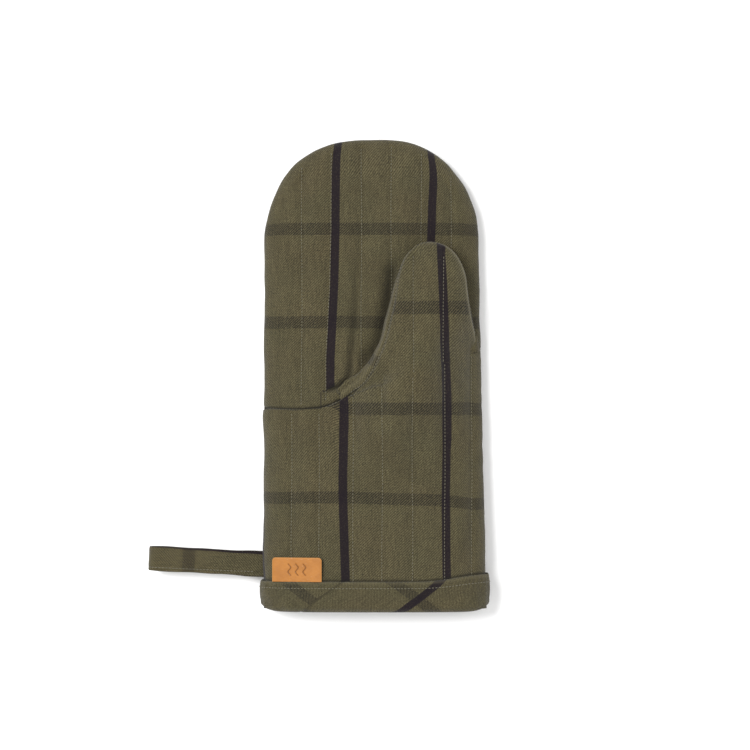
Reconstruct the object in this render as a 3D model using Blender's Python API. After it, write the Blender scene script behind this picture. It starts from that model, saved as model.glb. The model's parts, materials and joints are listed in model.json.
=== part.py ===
"""Quilted oven mitt lying on its back, with its thumb folded over the palm.

Metres, +Z up, fingers towards +Y. The origin is on the table, under the middle of the mitt.
Every quilted panel is three sheets: outer fabric, batting and lining. The sheets are nested:
each one is lofted between two surfaces that lie a known depth under the outer face.
"""

import math

import bmesh
import bpy
from mathutils import Matrix, Vector
from mathutils.bvhtree import BVHTree

# Overall shape
MITT_LENGTH = 0.330
HAND_WIDTH = 0.150
CUFF_WIDTH = 0.156
HAND_THICKNESS = 0.026
CUFF_THICKNESS = 0.040
HAND_SEAM_HEIGHT = 0.012
CUFF_SEAM_HEIGHT = 0.016
HAND_SHIFT = -0.0025
FINGER_DOME_LENGTH = 0.080
FINGER_ROUNDNESS = 2.4
TIP_HALF_FLAT = 0.010

# How full the sections are: 2 is an ellipse, more is closer to a box
PALM_FULLNESS = 3.0
BACK_FULLNESS = 3.6
FLAT_BACK_MARGIN = 0.0015

# Sheets of a quilted panel
OUTER_FABRIC = 0.0008
BATTING = 0.0030
LINING = 0.0006
GAP = 0.0003

# Seam between the palm and the wrist panels, and the thumb's root line
CROTCH = Vector((-0.0213, -0.0136))
THUMB_ROOT_RIGHT = Vector((0.0736, 0.0170))
PALM_SEAM_SLOPE = 0.175

# Thumb
THUMB_TIP_Y = 0.092
THUMB_X = 0.040
THUMB_WIDTH = 0.050
THUMB_THICKNESS = 0.022
THUMB_SEAM_HEIGHT = 0.009
THUMB_DOME_LENGTH = 0.024
THUMB_ROUNDNESS = 2.2
THUMB_CLEARANCE = 0.0022
THUMB_ROOT_CLEARANCE = 0.0013
THUMB_FLARE = 3.7
THUMB_CENTRE_FLARE = 6.0
THUMB_TILT_FADE = 4.0
THUMB_BED_DROP = 0.35
ROOT_RISE_LENGTH = 0.075
ROOT_RISE_FULLNESS = 1.5
THUMB_TIP_HALF_FLAT = 0.005

# Cuff binding
BINDING_WIDTH = 0.0195
BINDING_THICKNESS = 0.0015

# Hanging loop: a folded strap that leaves the left side seam
STRAP_WIDTH = 0.0172
STRAP_THICKNESS = 0.0020
STRAP_GAP = 0.0070
LOOP_LENGTH = 0.080
LOOP_OPENING_LENGTH = 0.034
LOOP_Y = -0.1320
LOOP_SLANT = math.radians(3.0)

# Leather label, tucked under the binding at its lower edge
LABEL_WIDTH = 0.0349
LABEL_LENGTH = 0.0168
LABEL_THICKNESS = 0.0014
LABEL_CORNER = 0.0025
LABEL_X = -0.0543

# Threads
THREAD_RADIUS = 0.0003
THREAD_CLEARANCE = 0.0005
THREAD_STEP = 0.0015
ROW_START_MARGIN = 0.004
QUILT_PITCH = 0.0209
PALM_FIRST_ROW = -0.0513
WRIST_FIRST_ROW = -0.0597
BACK_FIRST_ROW = -0.0523
PANEL_ROWS = 6
THUMB_ROW_X = (0.0290, 0.0490)
ROW_END_MARGIN = 0.006
SEAM_STITCH_DEPTH = 0.0026

# Mesh density
COLUMNS = 14
COLUMN_EVENNESS = 0.25
WRIST_ROWS = 8
PALM_ROWS = 5
DOME_ROWS = 6
THUMB_COLUMNS = 10
THUMB_STRAIGHT_ROWS = 6
THUMB_DOME_ROWS = 4
THUMB_ROW_SPREAD = 1.3
LOOP_STEPS = 8
LOOP_TURNS = 6
LOOP_CLOSED_STEPS = 2
LOOP_UNSEWN_STEPS = 1
LABEL_CORNER_STEPS = 4
LABEL_SAMPLES = 12

CUFF_Y = -MITT_LENGTH / 2
FINGER_DOME_Y = MITT_LENGTH / 2 - FINGER_DOME_LENGTH
THUMB_DOME_Y = THUMB_TIP_Y - THUMB_DOME_LENGTH
PANEL_END_Y = CUFF_Y + BINDING_THICKNESS + GAP
BINDING_TOP_Y = CUFF_Y + BINDING_WIDTH
BATTING_DEPTH = OUTER_FABRIC + GAP
LINING_DEPTH = BATTING_DEPTH + BATTING + GAP
PANEL_THICKNESS = LINING_DEPTH + LINING
THREAD_OFFSET = THREAD_CLEARANCE + THREAD_RADIUS
CUFF_LIFT = BINDING_THICKNESS + GAP + THREAD_OFFSET + THREAD_RADIUS
LIFT_FADE_LENGTH = 0.040
RAY_HEIGHT = 0.5
SHEETS = {
    "outer": (0.0, OUTER_FABRIC),
    "batting": (BATTING_DEPTH, BATTING_DEPTH + BATTING),
    "lining": (LINING_DEPTH, PANEL_THICKNESS),
}


def mix(start, end, share):
    return start + (end - start) * share


def smooth_step(share):
    share = min(1.0, max(0.0, share))
    return share * share * (3.0 - 2.0 * share)


def arch(share, fullness):
    """Height of a superellipse of unit half width and height, at this share of its half width."""
    return max(0.0, 1.0 - abs(share) ** fullness) ** (1.0 / fullness)


def column_shares(count, fullness):
    """Shares of the half width, from -1 to 1, closer together where a superellipse turns down."""
    shares = []
    for index in range(count + 1):
        cosine = -math.cos(math.pi * index / count)
        by_angle = math.copysign(abs(cosine) ** (2.0 / fullness), cosine)
        shares.append(mix(by_angle, 2.0 * index / count - 1.0, COLUMN_EVENNESS))
    shares[0] = -1.0
    shares[-1] = 1.0
    return shares


# --- The mitt's outer form -------------------------------------------------------------------


def cuff_share(y):
    """1 at the cuff, 0 from the start of the finger dome on."""
    return min(1.0, max(0.0, (FINGER_DOME_Y - y) / (FINGER_DOME_Y - CUFF_Y)))


def cuff_lift(y):
    """The cuff stands off the table so that the binding and its thread clear it."""
    return CUFF_LIFT * smooth_step((BINDING_TOP_Y + LIFT_FADE_LENGTH - y) / LIFT_FADE_LENGTH)


def seam_height(y):
    return mix(HAND_SEAM_HEIGHT, CUFF_SEAM_HEIGHT, smooth_step(cuff_share(y)))


def mitt_thickness(y):
    return mix(HAND_THICKNESS, CUFF_THICKNESS, smooth_step(cuff_share(y)))


def dome_share(y, depth):
    """How much of the full section is left at y: 1 up to the dome, 0 at the fingertips."""
    return arch(max(0.0, y - FINGER_DOME_Y) / (FINGER_DOME_LENGTH - depth), FINGER_ROUNDNESS)


def section(y, depth):
    """Centre x and half width of the surface at this depth, at y."""
    share = cuff_share(y)
    half = mix(HAND_WIDTH, CUFF_WIDTH, share) / 2 - depth
    return mix(HAND_SHIFT, 0.0, share), half * dome_share(y, depth)


def palm_height(share, y, depth, seam_gap=GAP / 2):
    """Height of the palm side, at this share of the half width."""
    seam = seam_height(y)
    full = mitt_thickness(y) - seam - depth - seam_gap
    rise = full * arch(share, PALM_FULLNESS) * dome_share(y, depth)
    return seam + seam_gap + rise + cuff_lift(y)


def back_height(share, y, depth, seam_gap=GAP / 2):
    """Height of the back of the mitt, flat where it lies on the table."""
    seam = seam_height(y)
    full = seam + FLAT_BACK_MARGIN - depth - seam_gap
    drop = full * arch(share, BACK_FULLNESS) * dome_share(y, depth)
    return seam - min(drop + seam_gap, seam - depth) + cuff_lift(y)


def seam_line_y(x):
    """The palm seam up to the crotch, and the thumb's root line to the right of it."""
    if x < CROTCH.x:
        return CROTCH.y + (x - CROTCH.x) * PALM_SEAM_SLOPE
    root = THUMB_ROOT_RIGHT - CROTCH
    return CROTCH.y + (x - CROTCH.x) * root.y / root.x


def root_rise(x, y):
    """How far the wrist panel climbs to the top of the folded thumb, just below the root line."""
    middle = (CROTCH.x + THUMB_ROOT_RIGHT.x) / 2
    share = (x - middle) / (THUMB_ROOT_RIGHT.x - middle)
    crown = max(0.0, 1.0 - share * share) ** ROOT_RISE_FULLNESS
    climb = smooth_step((y - seam_line_y(x) + ROOT_RISE_LENGTH) / ROOT_RISE_LENGTH)
    return (THUMB_CLEARANCE + THUMB_THICKNESS) * crown * climb


# --- Grids of points ------------------------------------------------------------------------


def dome_stations(start, length, depth, roundness, flat_share, count):
    """Distances along a dome, close together where it turns down, ending short of its tip."""
    last = arch(flat_share, roundness)
    end_angle = math.asin(last ** (roundness / 2))
    stations = []
    for index in range(1, count + 1):
        angle = end_angle * index / count
        stations.append(start + (length - depth) * math.sin(angle) ** (2.0 / roundness))
    return stations


def seam_start_y(share, depth, gap):
    """Where a column of the palm or wrist panel meets the seam line."""
    y = CROTCH.y
    for _ in range(2):
        centre, half = section(y, depth)
        y = seam_line_y(centre + half * share)
    return y + gap


def even_stations(start, end, rows):
    return [mix(start, end, row / rows) for row in range(rows + 1)]


def mitt_column(share, depth, stations, height):
    """Points of one column of a panel, at these places along it."""
    points = []
    for y in stations:
        centre, half = section(y, depth)
        points.append(Vector((centre + half * share, y, height(share, y, depth))))
    return points


def finger_column(share, depth, start, height):
    """Points of one column that runs on over the fingertips, down to the seam round them."""
    flat_share = TIP_HALF_FLAT / (HAND_WIDTH / 2)
    stations = start + dome_stations(
        FINGER_DOME_Y, FINGER_DOME_LENGTH, depth, FINGER_ROUNDNESS, flat_share, DOME_ROWS
    )
    points = mitt_column(share, depth, stations, height)
    tip_y = FINGER_DOME_Y + FINGER_DOME_LENGTH - depth
    points.append(Vector((points[-1].x, tip_y, height(1.0, tip_y, depth))))
    return points


def back_grid(depth):
    grid = []
    for share in column_shares(COLUMNS, BACK_FULLNESS):
        seam_y = seam_start_y(share, depth, 0.0)
        stations = even_stations(PANEL_END_Y, seam_y, WRIST_ROWS)
        stations += even_stations(seam_y, FINGER_DOME_Y, PALM_ROWS)[1:]
        grid.append(finger_column(share, depth, stations, back_height))
    return grid


def palm_grid(depth):
    grid = []
    for share in column_shares(COLUMNS, PALM_FULLNESS):
        start = seam_start_y(share, depth, GAP / 2)
        stations = even_stations(start, FINGER_DOME_Y, PALM_ROWS)
        grid.append(finger_column(share, depth, stations, palm_height))
    return grid


def wrist_grid(depth):
    grid = []
    for share in column_shares(COLUMNS, PALM_FULLNESS):
        end = seam_start_y(share, depth, -GAP / 2)
        stations = even_stations(PANEL_END_Y, end, WRIST_ROWS)
        column = mitt_column(share, depth, stations, palm_height)
        for point in column:
            point.z += root_rise(point.x, point.y)
        grid.append(column)
    return grid


def thumb_bed_height(x, y):
    """The gently rounded surface that the folded thumb lies on, just over the palm."""
    centre, half = section(y, 0.0)
    share = min(1.0, abs(x - centre) / half)
    seam = seam_height(y)
    fullness = (1.0 - THUMB_BED_DROP * share**4) * dome_share(y, 0.0)
    return seam + (mitt_thickness(y) - seam) * fullness + THUMB_CLEARANCE


def thumb_row(y, depth):
    """Middle, half width and tilt of the thumb's section where its centre line is at y."""
    root_middle = (CROTCH + THUMB_ROOT_RIGHT) / 2
    root = THUMB_ROOT_RIGHT - CROTCH
    left = 1.0 - (y - root_middle.y) / (THUMB_TIP_Y - root_middle.y)
    left = min(1.0, max(0.0, left))
    half = mix(THUMB_WIDTH / 2, root.length / 2, left**THUMB_FLARE) - depth
    half *= arch(max(0.0, y - THUMB_DOME_Y) / (THUMB_DOME_LENGTH - depth), THUMB_ROUNDNESS)
    middle_x = mix(THUMB_X, root_middle.x, left**THUMB_CENTRE_FLARE)
    tilt = math.atan2(root.y, root.x) * left**THUMB_TILT_FADE
    return Vector((middle_x, y)), half, tilt


def thumb_stations(depth):
    start = ((CROTCH + THUMB_ROOT_RIGHT) / 2).y + THUMB_ROOT_CLEARANCE
    stations = []
    for row in range(THUMB_STRAIGHT_ROWS + 1):
        share = (row / THUMB_STRAIGHT_ROWS) ** THUMB_ROW_SPREAD
        stations.append(mix(start, THUMB_DOME_Y, share))
    flat_share = THUMB_TIP_HALF_FLAT / (THUMB_WIDTH / 2)
    stations += dome_stations(
        THUMB_DOME_Y, THUMB_DOME_LENGTH, depth, THUMB_ROUNDNESS, flat_share, THUMB_DOME_ROWS
    )
    return stations


def thumb_level(share, y, depth, side):
    """Height over the thumb's bed, of its top face (side 1) or its under face (side -1)."""
    dome = arch(max(0.0, y - THUMB_DOME_Y) / (THUMB_DOME_LENGTH - depth), THUMB_ROUNDNESS)
    reach = arch(share, PALM_FULLNESS) * dome
    if side > 0:
        full = THUMB_THICKNESS - THUMB_SEAM_HEIGHT - depth - GAP / 2
        return THUMB_SEAM_HEIGHT + GAP / 2 + full * reach
    full = THUMB_SEAM_HEIGHT + FLAT_BACK_MARGIN - depth - GAP / 2
    return THUMB_SEAM_HEIGHT - min(full * reach + GAP / 2, THUMB_SEAM_HEIGHT - depth)


def thumb_grid(depth, side):
    grid = []
    for share in column_shares(THUMB_COLUMNS, PALM_FULLNESS):
        column = []
        for y in thumb_stations(depth):
            middle, half, tilt = thumb_row(y, depth)
            x = middle.x + half * share * math.cos(tilt)
            point_y = y + half * share * math.sin(tilt)
            level = thumb_level(share, y, depth, side)
            column.append(Vector((x, point_y, thumb_bed_height(x, point_y) + level)))
        tip_y = THUMB_TIP_Y - depth
        level = thumb_level(1.0, tip_y, depth, side)
        tip_x = column[-1].x
        column.append(Vector((tip_x, tip_y, thumb_bed_height(tip_x, tip_y) + level)))
        grid.append(column)
    return grid


def thumb_top_grid(depth):
    return thumb_grid(depth, 1)


def thumb_under_grid(depth):
    return thumb_grid(depth, -1)


# --- Solids ---------------------------------------------------------------------------------


def clear_scene():
    for obj in list(bpy.data.objects):
        bpy.data.objects.remove(obj)


def new_collection(name):
    collection = bpy.data.collections.new(name)
    bpy.context.scene.collection.children.link(collection)
    return collection


def new_material(name, colour, roughness):
    material = bpy.data.materials.new(name)
    material.use_nodes = True
    shader = material.node_tree.nodes["Principled BSDF"]
    shader.inputs["Base Color"].default_value = (*colour, 1.0)
    shader.inputs["Roughness"].default_value = roughness
    shader.inputs["Metallic"].default_value = 0.0
    return material


def add_object(name, data, collection, material):
    obj = bpy.data.objects.new(name, data)
    data.materials.append(material)
    collection.objects.link(obj)
    return obj


def mesh_object(name, work, collection, material):
    """Turns a bmesh into an object with its faces pointing out."""
    bmesh.ops.recalc_face_normals(work, faces=work.faces)
    if work.calc_volume(signed=True) < 0.0:
        bmesh.ops.reverse_faces(work, faces=work.faces)
    mesh = bpy.data.meshes.new(name)
    work.to_mesh(mesh)
    work.free()
    mesh.shade_smooth()
    return add_object(name, mesh, collection, material)


def lofted_sheet(name, outer, inner, collection, material):
    """A closed sheet between two grids of the same size, walled round its four edges.

    Both grids are split along the same diagonals, so that nested sheets stay nested.
    """
    work = bmesh.new()
    layers = []
    for grid in (outer, inner):
        layers.append([[work.verts.new(point) for point in column] for column in grid])
    columns = len(outer)
    rows = len(outer[0])
    for layer in layers:
        for i in range(columns - 1):
            for j in range(rows - 1):
                near, far = layer[i][j], layer[i + 1][j + 1]
                work.faces.new((near, layer[i + 1][j], far))
                work.faces.new((near, far, layer[i][j + 1]))
    rim = [(i, 0) for i in range(columns)]
    rim += [(columns - 1, j) for j in range(1, rows)]
    rim += [(i, rows - 1) for i in range(columns - 2, -1, -1)]
    rim += [(0, j) for j in range(rows - 2, 0, -1)]
    for index, (i, j) in enumerate(rim):
        k, m = rim[(index + 1) % len(rim)]
        work.faces.new((layers[0][i][j], layers[0][k][m], layers[1][k][m], layers[1][i][j]))
    return mesh_object(name, work, collection, material)


def add_panel(name, grid_at, collection, materials):
    """The three sheets of one quilted panel."""
    sheets = {}
    for sheet, (outer_depth, inner_depth) in SHEETS.items():
        sheets[sheet] = lofted_sheet(
            f"{name}_{sheet}",
            grid_at(outer_depth),
            grid_at(inner_depth),
            collection,
            materials[sheet],
        )
    return sheets


def cuff_ring_points(depth, y):
    """Points right round the mitt's section, over the palm side and back under it."""
    centre, half = section(y, depth)
    points = []
    for share in column_shares(COLUMNS, PALM_FULLNESS):
        points.append(Vector((centre + half * share, y, palm_height(share, y, depth, 0.0))))
    for share in reversed(column_shares(COLUMNS, BACK_FULLNESS)[1:-1]):
        points.append(Vector((centre + half * share, y, back_height(share, y, depth, 0.0))))
    return points


def add_binding(collection, material):
    """A strip folded over the cuff's edge: its section is a U, swept round the mouth."""
    outside = -GAP - BINDING_THICKNESS
    inside = PANEL_THICKNESS + GAP + BINDING_THICKNESS
    round_off = BINDING_THICKNESS / 2
    inner_top_y = BINDING_TOP_Y - BINDING_THICKNESS
    profile = [
        (outside, BINDING_TOP_Y),
        (outside, CUFF_Y + round_off),
        (outside + round_off, CUFF_Y),
        (inside - round_off, CUFF_Y),
        (inside, CUFF_Y + round_off),
        (inside, inner_top_y),
        (PANEL_THICKNESS + GAP, inner_top_y),
        (PANEL_THICKNESS + GAP, CUFF_Y + BINDING_THICKNESS),
        (-GAP, CUFF_Y + BINDING_THICKNESS),
        (-GAP, BINDING_TOP_Y),
    ]
    work = bmesh.new()
    rings = []
    for depth, y in profile:
        rings.append([work.verts.new(point) for point in cuff_ring_points(depth, y)])
    around = len(rings[0])
    for index, ring in enumerate(rings):
        after = rings[(index + 1) % len(rings)]
        for i in range(around):
            k = (i + 1) % around
            work.faces.new((ring[i], ring[k], after[k], after[i]))
    return mesh_object("cuff_binding", work, collection, material)


def add_tube(name, points, radius, collection, material, closed=False):
    """A thread: a curve with a round bevel and filled caps."""
    curve = bpy.data.curves.new(name, "CURVE")
    curve.dimensions = "3D"
    curve.bevel_depth = radius
    curve.bevel_resolution = 0
    curve.use_fill_caps = True
    spline = curve.splines.new("POLY")
    spline.points.add(len(points) - 1)
    spline.use_cyclic_u = closed
    for target, point in zip(spline.points, points):
        target.co = (*point, 1.0)
    return add_object(name, curve, collection, material)


def surface_tree(sheets):
    """A tree for rays against the solids of these objects."""
    points = []
    faces = []
    for sheet in sheets:
        first = len(points)
        points += [vertex.co.copy() for vertex in sheet.data.vertices]
        faces += [[first + index for index in face.vertices] for face in sheet.data.polygons]
    return BVHTree.FromPolygons(points, faces)


def laid_point(tree, x, y, from_z, direction):
    """The middle of a thread that rests on the surface met by looking up or down from from_z."""
    hit, normal, _, _ = tree.ray_cast(Vector((x, y, from_z)), Vector((0.0, 0.0, direction)))
    return hit + normal * THREAD_OFFSET


def edge_crossings(sheet, x):
    """Where a line along +Y at this x crosses the edges of a sheet's upward faces."""
    mesh = sheet.data
    mesh.calc_loop_triangles()
    crossings = []
    for triangle in mesh.loop_triangles:
        if triangle.normal.z <= 0.0:
            continue
        corners = [mesh.vertices[index].co for index in triangle.vertices]
        for start, end in zip(corners, corners[1:] + corners[:1]):
            if min(start.x, end.x) <= x < max(start.x, end.x):
                crossings.append(mix(start.y, end.y, (x - start.x) / (end.x - start.x)))
    return sorted(crossings)


def laid_row(sheet, x, start_y, end_y):
    """Points of a thread along +Y at this x, laid on the facets of a sheet from above."""
    stations = [start_y]
    for y in edge_crossings(sheet, x):
        if stations[-1] + THREAD_STEP < y < end_y - THREAD_STEP:
            stations.append(y)
    tree = surface_tree([sheet])
    return [laid_point(tree, x, y, RAY_HEIGHT, -1.0) for y in [*stations, end_y]]


def finger_end_y(x):
    """Where a row of quilting stops, short of the seam over the fingertips."""
    share = abs(x - HAND_SHIFT) / (HAND_WIDTH / 2)
    return FINGER_DOME_Y + FINGER_DOME_LENGTH * arch(share, FINGER_ROUNDNESS) - ROW_END_MARGIN


def thumb_end_y(x):
    share = (x - THUMB_X) / (THUMB_WIDTH / 2)
    return THUMB_DOME_Y + THUMB_DOME_LENGTH * arch(share, THUMB_ROUNDNESS) - ROW_END_MARGIN


def add_quilting(panels, collection, thread):
    """One thread for each row of quilting, on the palm side's outer face and the back's lining."""
    palm = panels["palm"]["outer"]
    wrist = panels["wrist"]["outer"]
    back = panels["back"]["lining"]
    for row in range(PANEL_ROWS):
        number = row + 1
        x = PALM_FIRST_ROW + row * QUILT_PITCH
        start = seam_line_y(x) + ROW_START_MARGIN
        points = laid_row(palm, x, start, finger_end_y(x))
        add_tube(f"palm_quilting_{number}", points, THREAD_RADIUS, collection, thread)
        x = WRIST_FIRST_ROW + row * QUILT_PITCH
        start = BINDING_TOP_Y + ROW_START_MARGIN
        if abs(x - LABEL_X) < LABEL_WIDTH / 2 + ROW_START_MARGIN:
            start += LABEL_LENGTH
        end = seam_line_y(x) - ROW_START_MARGIN
        points = laid_row(wrist, x, start, end)
        add_tube(f"wrist_quilting_{number}", points, THREAD_RADIUS, collection, thread)
        x = BACK_FIRST_ROW + row * QUILT_PITCH
        start = BINDING_TOP_Y + ROW_START_MARGIN
        end = finger_end_y(x) - PANEL_THICKNESS - ROW_END_MARGIN
        points = laid_row(back, x, start, end)
        add_tube(f"back_quilting_{number}", points, THREAD_RADIUS, collection, thread)


def add_thumb_quilting(panels, collection, thread):
    threads = []
    faces = (
        ("thumb_top", "outer", 0.0),
        ("thumb_under", "lining", PANEL_THICKNESS + ROW_END_MARGIN),
    )
    for side, sheet, inset in faces:
        for number, x in enumerate(THUMB_ROW_X, 1):
            start = seam_line_y(x) + ROW_START_MARGIN
            points = laid_row(panels[side][sheet], x, start, thumb_end_y(x) - inset)
            name = f"{side}_quilting_{number}"
            threads.append(add_tube(name, points, THREAD_RADIUS, collection, thread))
    return threads


def add_seam_threads(panels, collection, thread):
    """The threads that sew the panels together, inside the mitt."""
    depth = PANEL_THICKNESS + THREAD_OFFSET + GAP
    sides = []
    for share in (-1.0, 1.0):
        seam_y = seam_start_y(share, depth, 0.0)
        stations = even_stations(PANEL_END_Y, seam_y, WRIST_ROWS)[1:]
        stations += even_stations(seam_y, FINGER_DOME_Y, PALM_ROWS)[1:]
        sides.append(finger_column(share, depth, stations, palm_height))
    left, right = sides
    path = left + right[::-1]
    add_tube("outline_seam_thread", path, THREAD_RADIUS, collection, thread)
    tree = surface_tree([panels["palm"]["lining"], panels["wrist"]["lining"]])
    start_x = CROTCH.x
    end_x = -HAND_WIDTH / 2 + PANEL_THICKNESS + 2 * ROW_START_MARGIN
    points = []
    for x in even_stations(start_x, end_x, COLUMNS):
        y = seam_line_y(x) + SEAM_STITCH_DEPTH
        points.append(laid_point(tree, x, y, HAND_SEAM_HEIGHT, 1.0))
    add_tube("palm_seam_thread", points, THREAD_RADIUS, collection, thread)
    depth = -GAP - BINDING_THICKNESS - THREAD_OFFSET
    points = cuff_ring_points(depth, BINDING_TOP_Y - SEAM_STITCH_DEPTH)
    add_tube("binding_topstitch", points, THREAD_RADIUS, collection, thread, closed=True)


def add_thumb_seam_thread(collection, thread):
    grid = thumb_grid(PANEL_THICKNESS + THREAD_OFFSET + GAP, 1)
    path = grid[0] + grid[-1][::-1]
    return add_tube("thumb_seam_thread", path, THREAD_RADIUS, collection, thread)


def loop_contour(outset):
    """Outline of the folded strap, seen along Y: narrow at the root, wide at the far fold."""
    fold_radius = STRAP_GAP / 2 + STRAP_THICKNESS
    fold_x = fold_radius - LOOP_LENGTH
    pinch = STRAP_THICKNESS + GAP / 2
    upper = []
    for index in range(LOOP_STEPS + 1):
        x = fold_x * index / LOOP_STEPS
        half = mix(pinch, fold_radius, smooth_step(-x / LOOP_OPENING_LENGTH))
        upper.append(Vector((x, half + outset, 0.0)))
    fold = []
    for index in range(1, LOOP_TURNS):
        angle = math.pi * index / LOOP_TURNS
        reach = fold_radius + outset
        fold.append(Vector((fold_x - reach * math.sin(angle), reach * math.cos(angle), 0.0)))
    lower = [Vector((point.x, -point.y, 0.0)) for point in reversed(upper)]
    return upper + fold + lower


def add_flat_curve(name, outlines, depth, collection, material):
    """An outline, with any holes in it, given a thickness of twice this depth."""
    curve = bpy.data.curves.new(name, "CURVE")
    curve.dimensions = "2D"
    curve.fill_mode = "BOTH"
    curve.extrude = depth
    for outline in outlines:
        spline = curve.splines.new("POLY")
        spline.points.add(len(outline) - 1)
        spline.use_cyclic_u = True
        for target, point in zip(spline.points, outline):
            target.co = (*point, 1.0)
    return add_object(name, curve, collection, material)


def hinge_empty(name, place, direction, collection):
    """An empty on a joint's axis, with its own X along the axis."""
    empty = bpy.data.objects.new(name, None)
    collection.objects.link(empty)
    turn = Vector((1.0, 0.0, 0.0)).rotation_difference(direction)
    empty.matrix_world = Matrix.Translation(place) @ turn.to_matrix().to_4x4()
    return empty


def hang_on(empty, pieces):
    for piece in pieces:
        piece.parent = empty
        piece.matrix_parent_inverse = empty.matrix_world.inverted()


def add_hanging_loop(collection, fabric, thread):
    """The folded strap, hinged where it leaves the left side seam."""
    centre, half = section(LOOP_Y, 0.0)
    root_half = STRAP_THICKNESS + GAP / 2
    pivot_x = centre - half - GAP - root_half
    pivot_z = seam_height(LOOP_Y) + cuff_lift(LOOP_Y)
    outer = loop_contour(0.0)
    for index in range(1, LOOP_TURNS):
        angle = math.pi * index / LOOP_TURNS
        outer.append(
            Vector((root_half * math.sin(angle), -root_half * math.cos(angle), 0.0))
        )
    inner = loop_contour(-STRAP_THICKNESS)
    hole = inner[LOOP_CLOSED_STEPS:-LOOP_CLOSED_STEPS]
    strap = add_flat_curve("hanging_loop", [outer, hole], STRAP_WIDTH / 2, collection, fabric)
    upright = Matrix.Rotation(math.pi / 2, 4, "X")
    slant = Matrix.Rotation(-LOOP_SLANT, 4, "Z")
    place = Matrix.Translation((pivot_x, LOOP_Y, pivot_z))
    strap.matrix_world = place @ slant @ upright
    edge = add_tube(
        "loop_edge_thread",
        loop_contour(THREAD_OFFSET)[LOOP_UNSEWN_STEPS:-LOOP_UNSEWN_STEPS],
        THREAD_RADIUS,
        collection,
        thread,
    )
    to_edge = Matrix.Translation((0.0, SEAM_STITCH_DEPTH - STRAP_WIDTH / 2, 0.0))
    edge.matrix_world = place @ slant @ to_edge @ upright
    hinge = hinge_empty(
        "loop_hinge", Vector((pivot_x, LOOP_Y, pivot_z)), slant @ Vector((0.0, 1.0, 0.0)), collection
    )
    hang_on(hinge, [strap, edge])


def add_label(wrist_outer, collection, leather):
    """A flat leather tab that rests on the wrist panel and hinges at the binding's edge."""
    tree = surface_tree([wrist_outer])
    low_y = BINDING_TOP_Y + GAP
    high_y = low_y + LABEL_LENGTH
    samples = []
    for index in range(LABEL_SAMPLES + 1):
        offset = LABEL_WIDTH * (index / LABEL_SAMPLES - 0.5)
        for y in (low_y, mix(low_y, high_y, 0.5), high_y):
            start = Vector((LABEL_X + offset, y, RAY_HEIGHT))
            hit = tree.ray_cast(start, Vector((0.0, 0.0, -1.0)))[0]
            samples.append((offset, hit.z))
    run = samples[-1][0] - samples[0][0]
    slope = (samples[-1][1] - samples[0][1]) / run
    rest = max(z - slope * offset for offset, z in samples)
    half = LABEL_WIDTH / 2
    outline = [Vector((-half, 0.0, 0.0)), Vector((half, 0.0, 0.0))]
    for side, first in ((1.0, 0.0), (-1.0, math.pi / 2)):
        for index in range(LABEL_CORNER_STEPS + 1):
            angle = first + math.pi / 2 * index / LABEL_CORNER_STEPS
            corner = Vector((side * (half - LABEL_CORNER), LABEL_LENGTH - LABEL_CORNER, 0.0))
            reach = Vector((math.cos(angle), math.sin(angle), 0.0))
            outline.append(corner + reach * LABEL_CORNER)
    label = add_flat_curve("label", [outline], LABEL_THICKNESS / 2, collection, leather)
    tilt = Matrix.Rotation(-math.atan(slope), 4, "Y")
    lift = rest + GAP + LABEL_THICKNESS / 2
    label.matrix_world = Matrix.Translation((LABEL_X, low_y, lift)) @ tilt
    pivot = label.matrix_world @ Vector((0.0, 0.0, LABEL_THICKNESS / 2))
    hang_on(hinge_empty("label_hinge", pivot, tilt @ Vector((1.0, 0.0, 0.0)), collection), [label])


def build():
    clear_scene()
    collection = new_collection("oven_mitt")
    materials = {
        "outer": new_material("outer_fabric", (0.109, 0.095, 0.053), 0.92),
        "batting": new_material("cotton_batting", (0.74, 0.71, 0.63), 1.0),
        "lining": new_material("cotton_lining", (0.36, 0.33, 0.26), 0.95),
    }
    thread = new_material("sewing_thread", (0.26, 0.24, 0.15), 0.7)
    leather = new_material("leather", (0.658, 0.305, 0.107), 0.6)
    grids = {
        "back": back_grid,
        "palm": palm_grid,
        "wrist": wrist_grid,
        "thumb_top": thumb_top_grid,
        "thumb_under": thumb_under_grid,
    }
    panels = {}
    for name, grid_at in grids.items():
        panels[name] = add_panel(name, grid_at, collection, materials)
    add_binding(collection, materials["outer"])
    add_quilting(panels, collection, thread)
    add_seam_threads(panels, collection, thread)
    thumb_pieces = list(panels["thumb_top"].values()) + list(panels["thumb_under"].values())
    thumb_pieces += add_thumb_quilting(panels, collection, thread)
    thumb_pieces.append(add_thumb_seam_thread(collection, thread))
    root_middle = (CROTCH + THUMB_ROOT_RIGHT) / 2
    root = (THUMB_ROOT_RIGHT - CROTCH).normalized()
    top = thumb_bed_height(root_middle.x, root_middle.y) + THUMB_THICKNESS + THREAD_OFFSET
    pivot = Vector((root_middle.x, root_middle.y, top))
    hinge = hinge_empty("thumb_hinge", pivot, Vector((root.x, root.y, 0.0)), collection)
    hang_on(hinge, thumb_pieces)
    add_hanging_loop(collection, materials["outer"], thread)
    add_label(panels["wrist"]["outer"], collection, leather)


build()
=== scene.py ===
"""Looks of the quilted oven mitt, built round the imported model.

The forms are worked out in millimetres and turned into metres where a mesh is made.
+Y points to the fingertips, +Z up from the table. Each quilted panel is three nested sheets.
"""

import json
import math

import bpy
import numpy as np
from mathutils import Matrix, Vector
from mathutils.bvhtree import BVHTree


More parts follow.
